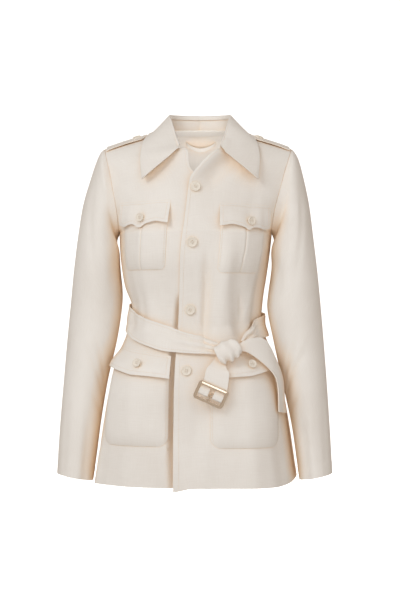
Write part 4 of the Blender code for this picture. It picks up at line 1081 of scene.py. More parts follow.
# %% Sleeve tables
# Sleeve rings after the armhole: outer line, inner line, middle and half of the depth
Arm = namedtuple("Arm", "outer_x outer_z inner_x inner_z mid_y half_depth")
LEFT_ARM = [
    Arm(0.1900, -0.0445, 0.1515, -0.2215, 0.006, 0.0680),
    Arm(0.1985, -0.0615, 0.1535, -0.2340, 0.004, 0.0700),
    Arm(0.2080, -0.0980, 0.1520, -0.2500, 0.001, 0.0710),
    Arm(0.2185, -0.1500, 0.1495, -0.2700, -0.003, 0.0705),
    Arm(0.2265, -0.2150, 0.1445, -0.2950, -0.008, 0.0690),
    Arm(0.2345, -0.2850, 0.1395, -0.3250, -0.012, 0.0660),
    Arm(0.2405, -0.3500, 0.1375, -0.3600, -0.016, 0.0630),
    Arm(0.2460, -0.4200, 0.1490, -0.4200, -0.022, 0.0590),
    Arm(0.2515, -0.5000, 0.1660, -0.5000, -0.030, 0.0545),
    Arm(0.2560, -0.5800, 0.1830, -0.5800, -0.040, 0.0500),
    Arm(0.2590, -0.6400, 0.1920, -0.6400, -0.047, 0.0465),
    Arm(0.2605, -0.6790, 0.1990, -0.6920, -0.052, 0.0450),
]
RIGHT_ARM = [
    Arm(0.1955, -0.0450, 0.1645, -0.2205, 0.010, 0.0680),
    Arm(0.2045, -0.0640, 0.1660, -0.2320, 0.012, 0.0700),
    Arm(0.2165, -0.1000, 0.1650, -0.2470, 0.013, 0.0710),
    Arm(0.2310, -0.1500, 0.1620, -0.2670, 0.014, 0.0705),
    Arm(0.2415, -0.2150, 0.1580, -0.2920, 0.014, 0.0690),
    Arm(0.2500, -0.2850, 0.1545, -0.3230, 0.014, 0.0660),
    Arm(0.2560, -0.3500, 0.1560, -0.3580, 0.013, 0.0630),
    Arm(0.2625, -0.4200, 0.1655, -0.4200, 0.010, 0.0590),
    Arm(0.2690, -0.5000, 0.1835, -0.5000, 0.005, 0.0550),
    Arm(0.2750, -0.5800, 0.1965, -0.5800, -0.004, 0.0505),
    Arm(0.2785, -0.6400, 0.2040, -0.6400, -0.011, 0.0470),
    Arm(0.2805, -0.6830, 0.2120, -0.6970, -0.016, 0.0450),
]
SLEEVE_CREASES = [
    Crease(0.095, 0.290, 0.175, 0.325, 0.009, -0.0024, 0.004),
    Crease(0.085, 0.345, 0.180, 0.345, 0.009, -0.0028, -0.003),
    Crease(0.110, 0.392, 0.185, 0.366, 0.008, -0.0020, 0.003),
    Crease(0.070, 0.315, 0.140, 0.335, 0.008, 0.0014, 0.002),
    Crease(0.050, 0.055, 0.100, 0.210, 0.014, -0.0018, 0.004),
    Crease(0.150, 0.060, 0.125, 0.190, 0.013, -0.0020, -0.003),
    Crease(0.110, 0.070, 0.112, 0.170, 0.012, 0.0012, 0.003),
    Crease(0.128, 0.400, 0.140, 0.610, 0.020, -0.0030, 0.006),
    Crease(0.092, 0.420, 0.104, 0.600, 0.018, 0.0012, -0.004),
    Crease(0.056, 0.470, 0.060, 0.640, 0.014, -0.0012, 0.003),
    Crease(0.250, 0.290, 0.305, 0.360, 0.011, 0.0018, 0.004),
    Crease(0.235, 0.365, 0.300, 0.330, 0.010, -0.0020, -0.003),
    Crease(0.290, 0.060, 0.260, 0.200, 0.015, -0.0020, 0.004),
    Crease(0.225, 0.080, 0.240, 0.190, 0.012, 0.0014, 0.003),
    Crease(0.300, 0.420, 0.280, 0.600, 0.014, -0.0020, -0.005),
    Crease(0.210, 0.430, 0.220, 0.580, 0.012, 0.0016, 0.003),
    Crease(0.350, 0.480, 0.345, 0.640, 0.012, 0.0010, 0.003),
]


print("sleeve rings:", len(LEFT_ARM), "creases:", len(SLEEVE_CREASES))

# %% [markdown]
# ## Sewing in the sleeves
# The first ring of a sleeve is the armhole itself, so the seam closes all round. Two meshes could be
# bridged there, but the sleeve has to stay a sheet of its own. Later rings even out, a little slack
# hangs under the arm, and a short tuck turns the seam allowance inside.

# %% Sleeves
ARM_EASE = 0.0013
ARM_SEAM = (0.0009, -0.0003)
EVEN_BY = 5
CREASE_FROM = 0.05
SLEEVE_ROUND = 0.06
ARM_SLACK = {1: 0.012, -1: 0.009}
SLACK_AT = -0.232
SLACK_TALL = 0.042
SLACK_TURN = 2.75
SLACK_WIDE = 0.6
SLACK_FORWARD = 0.6
TUCKS = (0.06, 0.035, 0.012)
TUCK_IN = 0.0045


def armhole(side):
    """Points round the armhole from the shoulder point forward, under the arm and up the back."""
    levels = PIT_LEVEL + np.linspace(0, TOP_LEVEL - PIT_LEVEL, 37)
    front = torso("front", side, 1.0, levels[::-1])
    back = torso("back", side, 1.0, levels[1:-1])
    ring = np.concatenate([front, back])
    middle = (front[0] + front[-1]) / 2
    tall = np.linalg.norm(front[0] - front[-1]) / 2
    deep = (ring[:, 1].max() - ring[:, 1].min()) / 2
    up = (front[0] - front[-1]) / (2 * tall)
    angle = np.arctan2(-(ring[:, 1] - middle[1]) / deep, (ring - middle) @ up / tall)
    angle = np.where(angle < 0, angle + 2 * math.pi, angle)
    angle[0] = 0.0
    return ring, angle


def arm_grid(side, rows, steps):
    """Rings of a sleeve from the armhole to the cuff, with its creases."""
    first, turn = armhole(side)
    rings = [first + np.array([side * ARM_SEAM[0], 0, ARM_SEAM[1]])]
    even = np.arange(len(turn)) * 2 * math.pi / len(turn)
    for number, arm in enumerate(rows):
        settled = ease((number + 1) / EVEN_BY)
        round_turn = turn * (1 - settled) + even * settled
        grown = ARM_EASE * ease((number - 1) / 3)
        outer = np.array([side * (arm.outer_x + ARM_EASE), arm.mid_y, arm.outer_z])
        inner = np.array([side * (arm.inner_x - grown), arm.mid_y, arm.inner_z])
        middle, reach = (outer + inner) / 2, (outer - inner) / 2
        forward = np.array([0, -arm.half_depth - grown, 0])
        outward, onward = np.cos(round_turn)[:, None], np.sin(round_turn)[:, None]
        rings.append(middle + outward * reach + onward * forward)
    grid = flowing(np.array(rings), steps)
    out = grid_normals(grid, wrap=True) * side
    down = flat_cut(grid)[1]
    turns = even[None, :] * SLEEVE_ROUND
    rise = crease_rise(SLEEVE_CREASES, turns, down) * ease(down / CREASE_FROM)
    rise += hem_ridge(down[-1] - down)
    grid = grid + out * rise[..., None]
    slack = ARM_SLACK[side] * np.exp(-((grid[:, :, 2] - SLACK_AT) / SLACK_TALL) ** 2)
    slack = slack * np.exp(-((even - SLACK_TURN) / SLACK_WIDE) ** 2) * ease(down / CREASE_FROM)
    grid = grid + slack[..., None] * np.array([-side, -SLACK_FORWARD, 0])
    middle = grid[0].mean(axis=0)
    tuck = [grid[0] + (middle - grid[0]) * share - np.array([side * TUCK_IN * share / TUCKS[0], 0, 0])
            for share in TUCKS]
    return np.concatenate([np.array(tuck), grid])


SLEEVES = {1: arm_grid(1, LEFT_ARM, 170), -1: arm_grid(-1, RIGHT_ARM, 170)}
cut_sheet("sleeve_left", SLEEVES[1], wrap=True, held="hung", rests_on=["front_left_cloth", "back_cloth"])
cut_sheet("sleeve_right", SLEEVES[-1], wrap=True, flip=True, held="hung",
          rests_on=["front_right_cloth", "back_cloth"])
print("sleeves:", SLEEVES[1].shape, "points each")

# %% [markdown]
# ## Collar
# A shirt collar has two pieces: a stand that rises from the neck seam, and a fall that rolls over it and
# lies on the shoulders in two long points. A cloth simulation could drop the fall, but not where it lies
# here. So the roll and the outer edge are given, and a search tree finds the cloth to keep clear of.

# %% Collar tables and the body as a search tree
# Half of the collar from the middle of the back (0) to its front end (1): the roll and the outer edge
Collar = namedtuple("Collar", "share roll_x roll_y roll_z edge_x edge_y edge_z")
COLLAR = [
    Collar(0.00, 0.0000, 0.0790, 0.0335, 0.000, 0.101, -0.020),
    Collar(0.16, 0.0330, 0.0715, 0.0335, 0.046, 0.095, -0.020),
    Collar(0.34, 0.0540, 0.0500, 0.0320, 0.077, 0.067, -0.019),
    Collar(0.52, 0.0630, 0.0140, 0.0275, 0.096, 0.018, -0.0105),
    Collar(0.68, 0.0575, -0.0180, 0.0110, 0.111, -0.030, -0.026),
    Collar(0.84, 0.0495, -0.0455, -0.0140, 0.116, -0.068, -0.060),
    Collar(1.00, 0.0410, -0.0725, -0.0325, 0.112, -0.097, -0.105),
]
COLLAR_SHIFT = 0.0020
NECK_MIDDLE = 0.004
TREE_GAP = -0.0002


def tree_over(grids):
    """A search tree over body faces, used to keep pieces clear of them."""
    spots, faces = [], []
    for grid, outward in grids:
        start = len(spots)
        rows, columns = grid.shape[:2]
        spots.extend(Vector(point) for point in grid.reshape(-1, 3))
        for i in range(rows - 1):
            for j in range(columns - 1):
                a = start + i * columns + j
                quad = (a, a + 1, a + columns + 1, a + columns)
                faces.append(quad if outward else quad[::-1])
    return BVHTree.FromPolygons(spots, faces)


def body_tree():
    """The search tree over both fronts and the back, with the shoulder seams closed."""
    grids = []
    for half, side in (("front", 1), ("front", -1), ("back", 1), ("back", -1)):
        grids.append((panel_grid(half, side, 40, TREE_GAP), (side > 0) == (half == "front")))
    return tree_over(grids)


def clear_of(tree, points, clearance, reach=0.05):
    """Move points that come too near the body, or lie inside it, out to a clearance."""
    moved = np.array(points, float)
    for index in np.ndindex(moved.shape[:-1]):
        spot, normal, _, distance = tree.find_nearest(Vector(moved[index]), reach)
        if spot is None:
            continue
        off = (Vector(moved[index]) - spot).dot(normal)
        if off < clearance and abs(off) > 0.6 * distance:
            moved[index] = np.array(Vector(moved[index]) + normal * (clearance - off))
    return moved


def neckline(side):
    """The neck edge from the middle back to the collar's front end."""
    levels = PIT_LEVEL + np.linspace(7, 9, 41)
    back = torso("back", side, edge_share("back", side, levels), levels)
    front = torso("front", side, edge_share("front", side, levels), levels)[::-1]
    line = np.concatenate([back, front[1:]])
    run = np.concatenate([[0], np.cumsum(np.linalg.norm(np.diff(line, axis=0), axis=1))])
    return line, run / run[-1]


def both_sides(half_rows):
    """A half from the middle outward, joined to its own other side."""
    left, right = half_rows
    return np.concatenate([right[::-1], left[1:]])


def collar_frames():
    """Neck, roll and edge points round the whole neck, with the inward direction at each."""
    table = np.array([row[1:] for row in COLLAR])
    neck, roll, edge = [], [], []
    for side in (1, -1):
        flip = np.array([side, 1, 1])
        line, share = neckline(side)
        values = flowing_by([row.share for row in COLLAR], table, share)
        neck.append(line)
        roll.append(values[:, :3] * flip + np.array([COLLAR_SHIFT, 0, 0]))
        edge.append(values[:, 3:] * flip + np.array([COLLAR_SHIFT, 0, 0]))
    neck, roll, edge = both_sides(neck), both_sides(roll), both_sides(edge)
    inward = np.array([COLLAR_SHIFT, NECK_MIDDLE, 0]) - roll
    inward[:, 2] = 0
    inward = inward / np.linalg.norm(inward, axis=1)[:, None]
    return neck, roll, edge, inward


def flowing_by(keys, rows, at):
    """Smooth rows of values over uneven keys, with soft slopes at each key."""
    keys, rows = np.asarray(keys, float), np.asarray(rows, float)
    slope = np.gradient(rows, keys, axis=0)
    i = np.clip(np.searchsorted(keys, at) - 1, 0, len(keys) - 2)
    h = (keys[i + 1] - keys[i])[:, None]
    t = (at - keys[i])[:, None] / h
    return cubic(rows[i], rows[i + 1], slope[i] * h, slope[i + 1] * h, t)


TREE = body_tree()
print("neck points a side:", len(neckline(1)[0]))

# %% [markdown]
# ## Collar fall and stand
# The fall is folded over the stand, so it starts inside the neck, turns over the roll and runs down to its
# edge. A bevelled curve would be as round at the points as at the back, and a real roll isn't. Rows are set
# one by one instead: a tight turn, a slight bulge, wings that lift at the points and ends that drop.

# %% Collar fall and stand
COLLAR_CLOTH = 0.0018
COLLAR_FOLD = 0.0030
COLLAR_LIP = 0.0060
COLLAR_BULGE = 0.0010
COLLAR_CLEAR = 0.0016
CLEAR_FROM = 8
ROLL_ROWS = 13
FALL_ROWS = 27
WING_LIFT = 0.0110
WING_REACH = 0.10
END_DROP = 0.0120
END_REACH = 0.07
STAND_ROWS = 14


def collar_grids():
    """The fall from inside the roll to its outer edge, and the stand from the neck seam to the roll."""
    neck, roll, edge, inward = collar_frames()
    rise = np.linalg.norm(roll - neck, axis=1)[:, None]
    fold = COLLAR_FOLD * np.clip(rise / 0.03, 0.6, 1)
    lip = np.minimum(COLLAR_LIP, 0.35 * rise)
    up = np.array([0.0, 0.0, 1.0])
    start = roll + inward * fold - up * lip
    rows = [start, roll + inward * fold - up * 0.2 * lip, roll + inward * fold * 0.5 + up * 0.0012,
            roll - up * 0.0002]
    rows = list(flowing(np.array(rows), ROLL_ROWS))
    outward = -inward + np.array([0, 0, 0.5])
    for t in np.linspace(0, 1, FALL_ROWS)[1:]:
        bulge = COLLAR_BULGE * math.sin(math.pi * t) * (1 - 0.4 * t)
        rows.append(roll * (1 - t) + edge * t + outward * bulge)
    fall = np.array(rows)
    ends = np.arange(fall.shape[1]) / fall.shape[1]
    ends = np.exp(-(np.minimum(ends, ends[::-1]) / END_REACH) ** 2)
    weight = np.concatenate([np.linspace(0, 1, ROLL_ROWS), 1 - np.linspace(0, 1, FALL_ROWS)[1:] ** 1.3])
    fall += (weight[:, None] * ends[None, :])[..., None] * np.array([0, -0.5, -1.0]) * END_DROP
    fall[CLEAR_FROM:] = clear_of(TREE, fall[CLEAR_FROM:], COLLAR_CLEAR + COLLAR_CLOTH)
    down = np.linspace(0, 1, FALL_ROWS)[:, None]
    near = np.minimum(np.arange(fall.shape[1]), np.arange(fall.shape[1])[::-1])[None, :] / fall.shape[1]
    wing = WING_LIFT * (4 * down * (1 - down)) ** 0.7 * np.exp(-(near / WING_REACH) ** 2)
    fall[ROLL_ROWS - 1:, :, 1] -= wing
    foot = neck + up * 0.0006 + inward * 0.0005
    head = start - up * (SEAM + 0.0003)
    stand_rows = np.array([foot * (1 - t) + head * t for t in np.linspace(0, 1, STAND_ROWS)])
    return fall, stand_rows


FALL, STAND = collar_grids()
cut_sheet("collar_fall", FALL, COLLAR_CLOTH, flip=True, held="folded",
          rests_on=["collar_stand_cloth", "front_left_cloth"])
cut_sheet("collar_stand", STAND, COLLAR_CLOTH, held="hung", rests_on=["back_cloth", "front_left_cloth"])
sew("collar_fall", FALL, [[(0.012, 0.42), (0.012, 0.93), (0.988, 0.93), (0.988, 0.42)]], THREAD_LIFT, -1)
print("collar:", FALL.shape, STAND.shape)

# %% [markdown]
# ## Pockets and flaps
# Four patch pockets sit on the fronts: chest pockets with a pleat down the middle, and deep hip pockets
# with round corners, each under a flap. They could be modelled flat and bent on later, but a tailor marks
# them by measure, so they are distances and heights. The two sides never match on a standing jacket, so
# each front slides its pockets a few millimetres.

# %% Pocket measures
# Pockets and flaps on each front: distance from the middle, heights, stand-off
Pocket = namedtuple("Pocket", "near far top foot corner rise")
CHEST_POCKET = Pocket(0.052, 0.154, -0.180, -0.287, 0.010, 0.0030)
HIP_POCKET = Pocket(0.036, 0.184, -0.468, -0.622, 0.022, 0.0075)
Flap = namedtuple("Flap", "near far near_top far_top near_foot far_foot point lift")
CHEST_FLAP = Flap(0.047, 0.159, -0.153, -0.157, -0.199, -0.198, 0.009, 0.0070)
HIP_FLAP = Flap(0.033, 0.187, -0.449, -0.430, -0.494, -0.474, 0.004, 0.0110)
# How far each front's pockets have slid out and up on the standing jacket
Slide = namedtuple("Slide", "chest_out chest_up hip_out hip_up")
SLIDE = {1: Slide(0.002, 0.0, 0.012, -0.001), -1: Slide(0.0, 0.006, -0.001, 0.001)}


def slid(piece, side, place):
    """A pocket or flap moved to where it sits on one front."""
    slide = SLIDE[side]
    out, up = (slide.chest_out, slide.chest_up) if place == "chest" else (slide.hip_out, slide.hip_up)
    heights = [field for field in piece._fields if field.endswith(("top", "foot"))]
    moved = {field: getattr(piece, field) + up for field in heights}
    return piece._replace(near=piece.near + out, far=piece.far + out, **moved)


print("pockets:", CHEST_POCKET, HIP_POCKET)

# %% [markdown]
# ## Shaping pockets and flaps
# A patch pocket is sewn at the sides and foot and stands off in the middle; a flap is sewn along its top
# and stands off at its foot. Extruding them would give hard steps. Here every point has its own lift, so
# the edges melt into the cloth. Chest flaps hang in scallops, and hip flaps in one shallow point.

# %% Pocket and flap grids
PLEAT_GROOVE = 0.0018
PLEAT_DEEP = 0.0016
SEWN_LIFT = -0.0009
LIE = 0.0010
FLAP_WAVE = 0.0006
CURL_REACH = 0.14


def outline_foot(flap, across, scalloped):
    """How low a flap hangs at a share of its width: slanting, with a soft point or scallops."""
    straight = flap.near_foot + (flap.far_foot - flap.near_foot) * across
    if not scalloped:
        return straight - flap.point * np.maximum(0, 1 - np.abs(across - 0.5) / 0.42) ** 1.6
    point = np.exp(-((across - 0.53) / 0.085) ** 2) - 0.45 * np.exp(-((across - 0.22) / 0.13) ** 2)
    return straight - flap.point * (point + 0.5 * np.exp(-((across - 0.84) / 0.08) ** 2))


def pocket_grid(face, pocket, columns, rows, pleated):
    """A patch pocket: sewn at sides and foot, standing off in its middle, rounded at its corners."""
    down = (1 - (1 - np.linspace(0, 1, rows)) ** 1.5)[:, None]
    across = np.linspace(0, 1, columns)[None, :]
    z = pocket.top + (pocket.foot - pocket.top) * down + 0 * across
    to_foot = np.clip((1 - down) * (pocket.top - pocket.foot), 0, pocket.corner)
    inset = pocket.corner - np.sqrt(pocket.corner ** 2 - (pocket.corner - to_foot) ** 2)
    wide = pocket.far - pocket.near
    distance = pocket.near + inset + (wide - 2 * inset) * across
    side_rise, foot_rise = 1 - (2 * across - 1) ** 8, 1 - down ** 10
    mouth = 0.5 + 0.5 * ease(down / 0.4)
    lift = SEWN_LIFT + 0.0006 + (0.0010 + pocket.rise) * side_rise * foot_rise * mouth
    lift = lift + 0.0012 * np.exp(-((across - 0.5) / 0.10) ** 2) * foot_rise * side_rise * mouth
    if pleated:
        lift = lift - PLEAT_DEEP * np.exp(-((across - 0.5) * wide / PLEAT_GROOVE) ** 2) * side_rise
    return face.raised(distance, z, lift)[0]


def flap_grid(face, flap, columns, rows, curl, scalloped):
    """A flap sewn along its top, lying over the pocket with its foot standing off."""
    across, down = np.linspace(0, 1, columns)[None, :], np.linspace(0, 1, rows)[:, None]
    top = flap.near_top + (flap.far_top - flap.near_top) * across
    z = top + (outline_foot(flap, across, scalloped) - top) * down
    distance = flap.near + (flap.far - flap.near) * across + 0 * down
    lift = SEWN_LIFT + (LIE + 0.0016 + flap.lift) * ease(down / 0.95) * (1 - 0.12 * (2 * across - 1) ** 4)
    lift = lift + curl * np.exp(-(across / CURL_REACH) ** 2) * down ** 2
    lift = lift + FLAP_WAVE * np.sin(9 * across + 1.3) * down ** 3
    return face.raised(distance, z, lift)[0]


print("a chest flap hangs to", outline_foot(CHEST_FLAP, 0.53, True).round(4), "under its button")

# %% [markdown]
# ## Sewing pockets and flaps on
# The pockets go on first and the flaps over them, each with thread just inside its edge. One side could be
# mirrored to the other, but then both would curl alike. So one loop makes all four, each with its own slide
# and its own curl at the near corner.

# %% Pockets and flaps
STITCH_INSET = 0.0065
FLAP_TALL = 0.045
Pocketing = namedtuple("Pocketing", "place pocket flap columns rows pleated")
PLAN = [Pocketing("chest", CHEST_POCKET, CHEST_FLAP, 49, 36, True),
        Pocketing("hip", HIP_POCKET, HIP_FLAP, 57, 48, False)]
CURL = {("chest", -1): 0.0045, ("chest", 1): 0.0015, ("hip", -1): 0.0010, ("hip", 1): 0.0010}
for word, side in (("left", 1), ("right", -1)):
    front = f"front_{word}_cloth"
    for plan in PLAN:
        pocket, flap = slid(plan.pocket, side, plan.place), slid(plan.flap, side, plan.place)
        patch = pocket_grid(FACES[("front", side)], pocket, plan.columns, plan.rows, plan.pleated)
        cut_sheet(f"{plan.place}_pocket_{word}", patch, grow=1, flip=side > 0, held="laid", rests_on=[front])
        round_pocket = [[(0.03, 0.03), (0.03, 0.80)], [(0.97, 0.80), (0.97, 0.03)],
                        [(0.06, 0.968), (0.94, 0.968)]]
        sew(f"{plan.place}_pocket_{word}", patch, round_pocket, CLOTH + THREAD_LIFT, -side)
        lid = flap_grid(FACES[("front", side)], flap, 61, 25, CURL[(plan.place, side)], plan.pleated)
        cut_sheet(f"{plan.place}_flap_{word}", lid, grow=1, flip=side > 0, held="hung", rests_on=[front])
        inset, foot = STITCH_INSET / (flap.far - flap.near), 1 - STITCH_INSET / FLAP_TALL
        round_flap = [[(inset, 0.05), (inset, foot), (0.5, foot), (1 - inset, foot), (1 - inset, 0.05)],
                      [(0.01, 0.10), (0.99, 0.10)]]
        sew(f"{plan.place}_flap_{word}", lid, round_flap, CLOTH + THREAD_LIFT, -side)
print("pockets and flaps sewn on")

# %% [markdown]
# ## Shoulder straps
# A strap is sewn in at the sleeve and buttoned near the collar. A Shrinkwrap modifier could lay it on the
# shoulder, but then it would cling like paint. Rays dropped from above find the cloth under every point, and
# the strap is laid a little higher, arching slightly between its ends.

# %% Shoulder straps
STRAP_FROM = 0.1815
STRAP_LONG = 0.0805
STRAP_HALF = 0.0215
STRAP_TAPER = 0.003
STRAP_CLOTH = 0.0018
STRAP_LIE = 0.0014
STRAP_ARCH = 0.0010
STRAP_STITCH = 0.0020
STRAP_MIDDLE = (-0.002, 0.004)
STRAP_BUTTON_AT = (0.5, 0.75)
STRAP_BUTTON_LIFT = 0.0008
STRAP_BUTTONS = {}


def strap_grid(side, stations, columns):
    """Points of a strap from the sleeve seam to its rounded end near the collar."""
    rows = []
    for x in np.linspace(STRAP_FROM, STRAP_FROM - STRAP_LONG, stations):
        reach = (STRAP_FROM - x) / STRAP_LONG
        half = (STRAP_HALF - STRAP_TAPER * reach) * min(1.0, 0.30 + 6.0 * (1.0 - reach))
        arch = STRAP_ARCH * math.sin(math.pi * min(1.0, reach * 1.1))
        lift = STRAP_LIE + arch + STRAP_ARCH * reach
        row = []
        for across in np.linspace(-1, 1, columns):
            start = Vector((side * x + STRAP_MIDDLE[0], STRAP_MIDDLE[1] + across * half, 0.2))
            spot, normal, _, _ = TREE.ray_cast(start, Vector((0, 0, -1)))
            row.append(np.array(spot) + np.array(normal) * lift)
        rows.append(row)
    return np.array(rows)


for word, side in (("left", 1), ("right", -1)):
    strap = strap_grid(side, 41, 17)
    cut_sheet(f"epaulette_{word}", strap, STRAP_CLOTH, grow=1, flip=side < 0, held="laid",
              rests_on=[f"front_{word}_cloth"])
    sew(f"epaulette_{word}", strap, [[(0.14, 0.02), (0.14, 0.90), (0.5, 0.95), (0.86, 0.90), (0.86, 0.02)]],
        STRAP_STITCH, side)
    normal = on_grid(grid_normals(strap), *STRAP_BUTTON_AT)
    normal = normal if normal[2] > 0 else -normal
    STRAP_BUTTONS[word] = (on_grid(strap, *STRAP_BUTTON_AT) + normal * STRAP_BUTTON_LIFT, normal)
print("strap buttons at", {word: spot.round(3).tolist() for word, (spot, _) in STRAP_BUTTONS.items()})

# %% [markdown]
# ## Buttons
# A turned button has a flat back, a raised rim and a dished face with four holes. A squashed cylinder has
# none of these, and they are what catches the light. So a profile is spun round as on a lathe, holes are cut
# with a Boolean, and two bars of thread lie side by side in the dish.

# %% Turned buttons
FRONT_BUTTON = 0.0100
FLAP_BUTTON = 0.0085
BUTTON_THICK = 0.0030
HOLE_OUT = 0.20
HOLE_RADIUS = 0.095
HOLE_SIDES = 12
BAR_HALF = 0.21
BAR_WIDE = 0.075
BAR_THICK = 0.00035
BAR_SIDES = 6
PROFILE = [(0.0, 0.0), (0.60, 0.0), (0.86, 0.02), (0.97, 0.18), (1.0, 0.45), (0.985, 0.78), (0.93, 0.95),
           (0.86, 1.0), (0.79, 0.95), (0.73, 0.80), (0.66, 0.70), (0.45, 0.64), (0.0, 0.62)]


def kept_mesh(name, shape):
    """Keep a built shape as a mesh, and let the shape go."""
    mesh = bpy.data.meshes.new(name)
    shape.to_mesh(mesh)
    shape.free()
    return mesh


def spun(name, radius, count=44):
    """A profile turned on a lathe."""
    shape = bmesh.new()
    rings = []
    for share, height in PROFILE[1:-1]:
        turns = [2 * math.pi * k / count for k in range(count)]
        rings.append([shape.verts.new((radius * share * math.cos(t), radius * share * math.sin(t),
                                       BUTTON_THICK * height)) for t in turns])
    for low, high in zip(rings, rings[1:]):
        for k in range(count):
            shape.faces.new((low[k], low[(k + 1) % count], high[(k + 1) % count], high[k]))
    for ring, height, turned in ((rings[0], PROFILE[0][1], -1), (rings[-1], PROFILE[-1][1], 1)):
        middle = shape.verts.new((0, 0, BUTTON_THICK * height))
        for k in range(count):
            pair = (ring[k], ring[(k + 1) % count])[::turned]
            shape.faces.new((*pair, middle))
    return kept_mesh(name, shape)


def drilled(name, radius):
    """A spun button with four holes through it."""
    button = bpy.data.objects.new(name, spun(name, radius))
    drill = bmesh.new()
    for x in (-1, 1):
        for y in (-1, 1):
            at = Matrix.Translation((x * radius * HOLE_OUT, y * radius * HOLE_OUT, BUTTON_THICK / 2))
            bmesh.ops.create_cone(drill, cap_ends=True, segments=HOLE_SIDES, radius1=radius * HOLE_RADIUS,
                                  radius2=radius * HOLE_RADIUS, depth=BUTTON_THICK * 2, matrix=at)
    bit = bpy.data.objects.new(name + "_drill", kept_mesh(name + "_drill", drill))
    for thing in (button, bit):
        bpy.context.scene.collection.objects.link(thing)
    cut = button.modifiers.new("holes", "BOOLEAN")
    cut.operation, cut.solver, cut.object = "DIFFERENCE", "EXACT", bit
    settle(button, name, 40)
    made = button.data
    bpy.data.objects.remove(button)
    bpy.data.objects.remove(bit)
    return made


def thread_bars(name, radius):
    """Two bars of thread from hole to hole, side by side, arched over the dish."""
    shape = bmesh.new()
    for shift in (-1, 1):
        beside = Matrix.Translation((0, shift * radius * HOLE_OUT, 0))
        loops = []
        for t in np.linspace(-1, 1, 9):
            x, z = t * radius * BAR_HALF, BUTTON_THICK * (0.60 + 0.26 * (1 - t * t))
            loop = []
            for k in range(BAR_SIDES):
                angle = 2 * math.pi * k / BAR_SIDES
                at = Vector((x, radius * BAR_WIDE * math.cos(angle), z + BAR_THICK * math.sin(angle)))
                loop.append(shape.verts.new(beside @ at))
            loops.append(loop)
        for low, high in zip(loops, loops[1:]):
            for k in range(BAR_SIDES):
                ahead = (k + 1) % BAR_SIDES
                shape.faces.new((low[k], high[k], high[ahead], low[ahead]))
        shape.faces.new(loops[0])
        shape.faces.new(loops[-1][::-1])
    bmesh.ops.recalc_face_normals(shape, faces=shape.faces)
    mesh = kept_mesh(name, shape)
    mesh.polygons.foreach_set("use_smooth", [True] * len(mesh.polygons))
    return mesh


MASTERS = {size: (drilled(f"button_{label}", size), thread_bars(f"button_thread_{label}", size))
           for label, size in (("front", FRONT_BUTTON), ("flap", FLAP_BUTTON))}
print("button faces:", {size: len(made[0].polygons) for size, made in MASTERS.items()})

# %% [markdown]
# ## Sewing the buttons on
# Ten buttons hold the front, the flaps and the straps. Placed by hand they would cut into cloth that leans
# every way. So each place is found by measure, and the button is turned to the cloth's own direction and
# spun a little, because hands never sew two on alike.

# %% Sewing the buttons on
FRONT_BUTTON_Z = [-0.121, -0.2285, -0.359, -0.476]
CHEST_BUTTON_Z = -0.187
HIP_BUTTON_Z = -0.467
BUTTON_LIFT = 0.0012
# How far a flap's button sits out from the middle of its flap
BUTTON_OUT = {("chest", 1): 0.006, ("chest", -1): 0.0, ("hip", 1): 0.0, ("hip", -1): -0.015}


def sew_button(node, size, spot, normal, spin):
    """A button and its thread in place of a plain solid, turned a little as hands leave them."""
    turn = Vector(normal).to_track_quat("Z", "Y").to_matrix().to_4x4()
    place = Matrix.Translation(Vector(spot)) @ turn @ Matrix.Rotation(spin, 4, "Z")
    for suffix, mesh, finish, slot, stands_for in (("_turned", MASTERS[size][0], HORN, "button", node),
                                                   ("_thread", MASTERS[size][1], THREAD, "cloth", None)):
        copy = mesh.copy()
        copy.transform(place)
        add_piece(node + suffix, copy, finish, node=stands_for)


left_face = FACES[("front", 1)]
for number, z in enumerate(FRONT_BUTTON_Z, 1):
    spot, normal = left_face.raised(0.0, z, BUTTON_LIFT)
    sew_button(f"front_button_{number}", FRONT_BUTTON, spot, normal, 0.35 * number)
for word, side in (("left", 1), ("right", -1)):
    for place, flap, z in (("chest", CHEST_FLAP, CHEST_BUTTON_Z), ("hip", HIP_FLAP, HIP_BUTTON_Z)):
        flap = slid(flap, side, place)
        up = SLIDE[side].chest_up if place == "chest" else SLIDE[side].hip_up
        middle = (flap.near + flap.far) / 2 + BUTTON_OUT[(place, side)]
        lift = LIE + flap.lift + CLOTH + BUTTON_LIFT
        spot, normal = FACES[("front", side)].raised(middle, z + up, lift)
        sew_button(f"{place}_button_{word}", FLAP_BUTTON, spot, normal, 0.5 + side * 0.4)
    spot, normal = STRAP_BUTTONS[word]
    sew_button(f"epaulette_button_{word}", FLAP_BUTTON, spot, normal, 0.2)
print("buttons sewn on:", len(FRONT_BUTTON_Z) + 6)

# %% [markdown]
# ## Belt
# The belt is a flat tube of the same cloth, tied on the wearer's left: one end hangs free and the other
# carries the buckle. A curve with a flat bevel could draw all of it in one go, but it twists where the belt
# is tied. So the band is given by its middle line and width at a few turns round the waist.

# %% Belt measures
# The belt's middle line and half width by turn from the middle front, to each side of the knot
Belt = namedtuple("Belt", "turn z half_width")
BELT_RIGHT = [
    Belt(24, -0.4365, 0.0095),
    Belt(12, -0.4300, 0.0150),
    Belt(-6, -0.4225, 0.0200),
    Belt(-20, -0.4140, 0.0245),
    Belt(-40, -0.3980, 0.0255),
    Belt(-90, -0.3710, 0.0245),
    Belt(-180, -0.3800, 0.0240),
]
BELT_LEFT = [
    Belt(180, -0.3800, 0.0240),
    Belt(90, -0.3910, 0.0225),
    Belt(66, -0.3990, 0.0200),
    Belt(50, -0.4160, 0.0150),
    Belt(40, -0.4310, 0.0100),
]
print("widest half of the belt:", max(row.half_width for row in BELT_RIGHT))

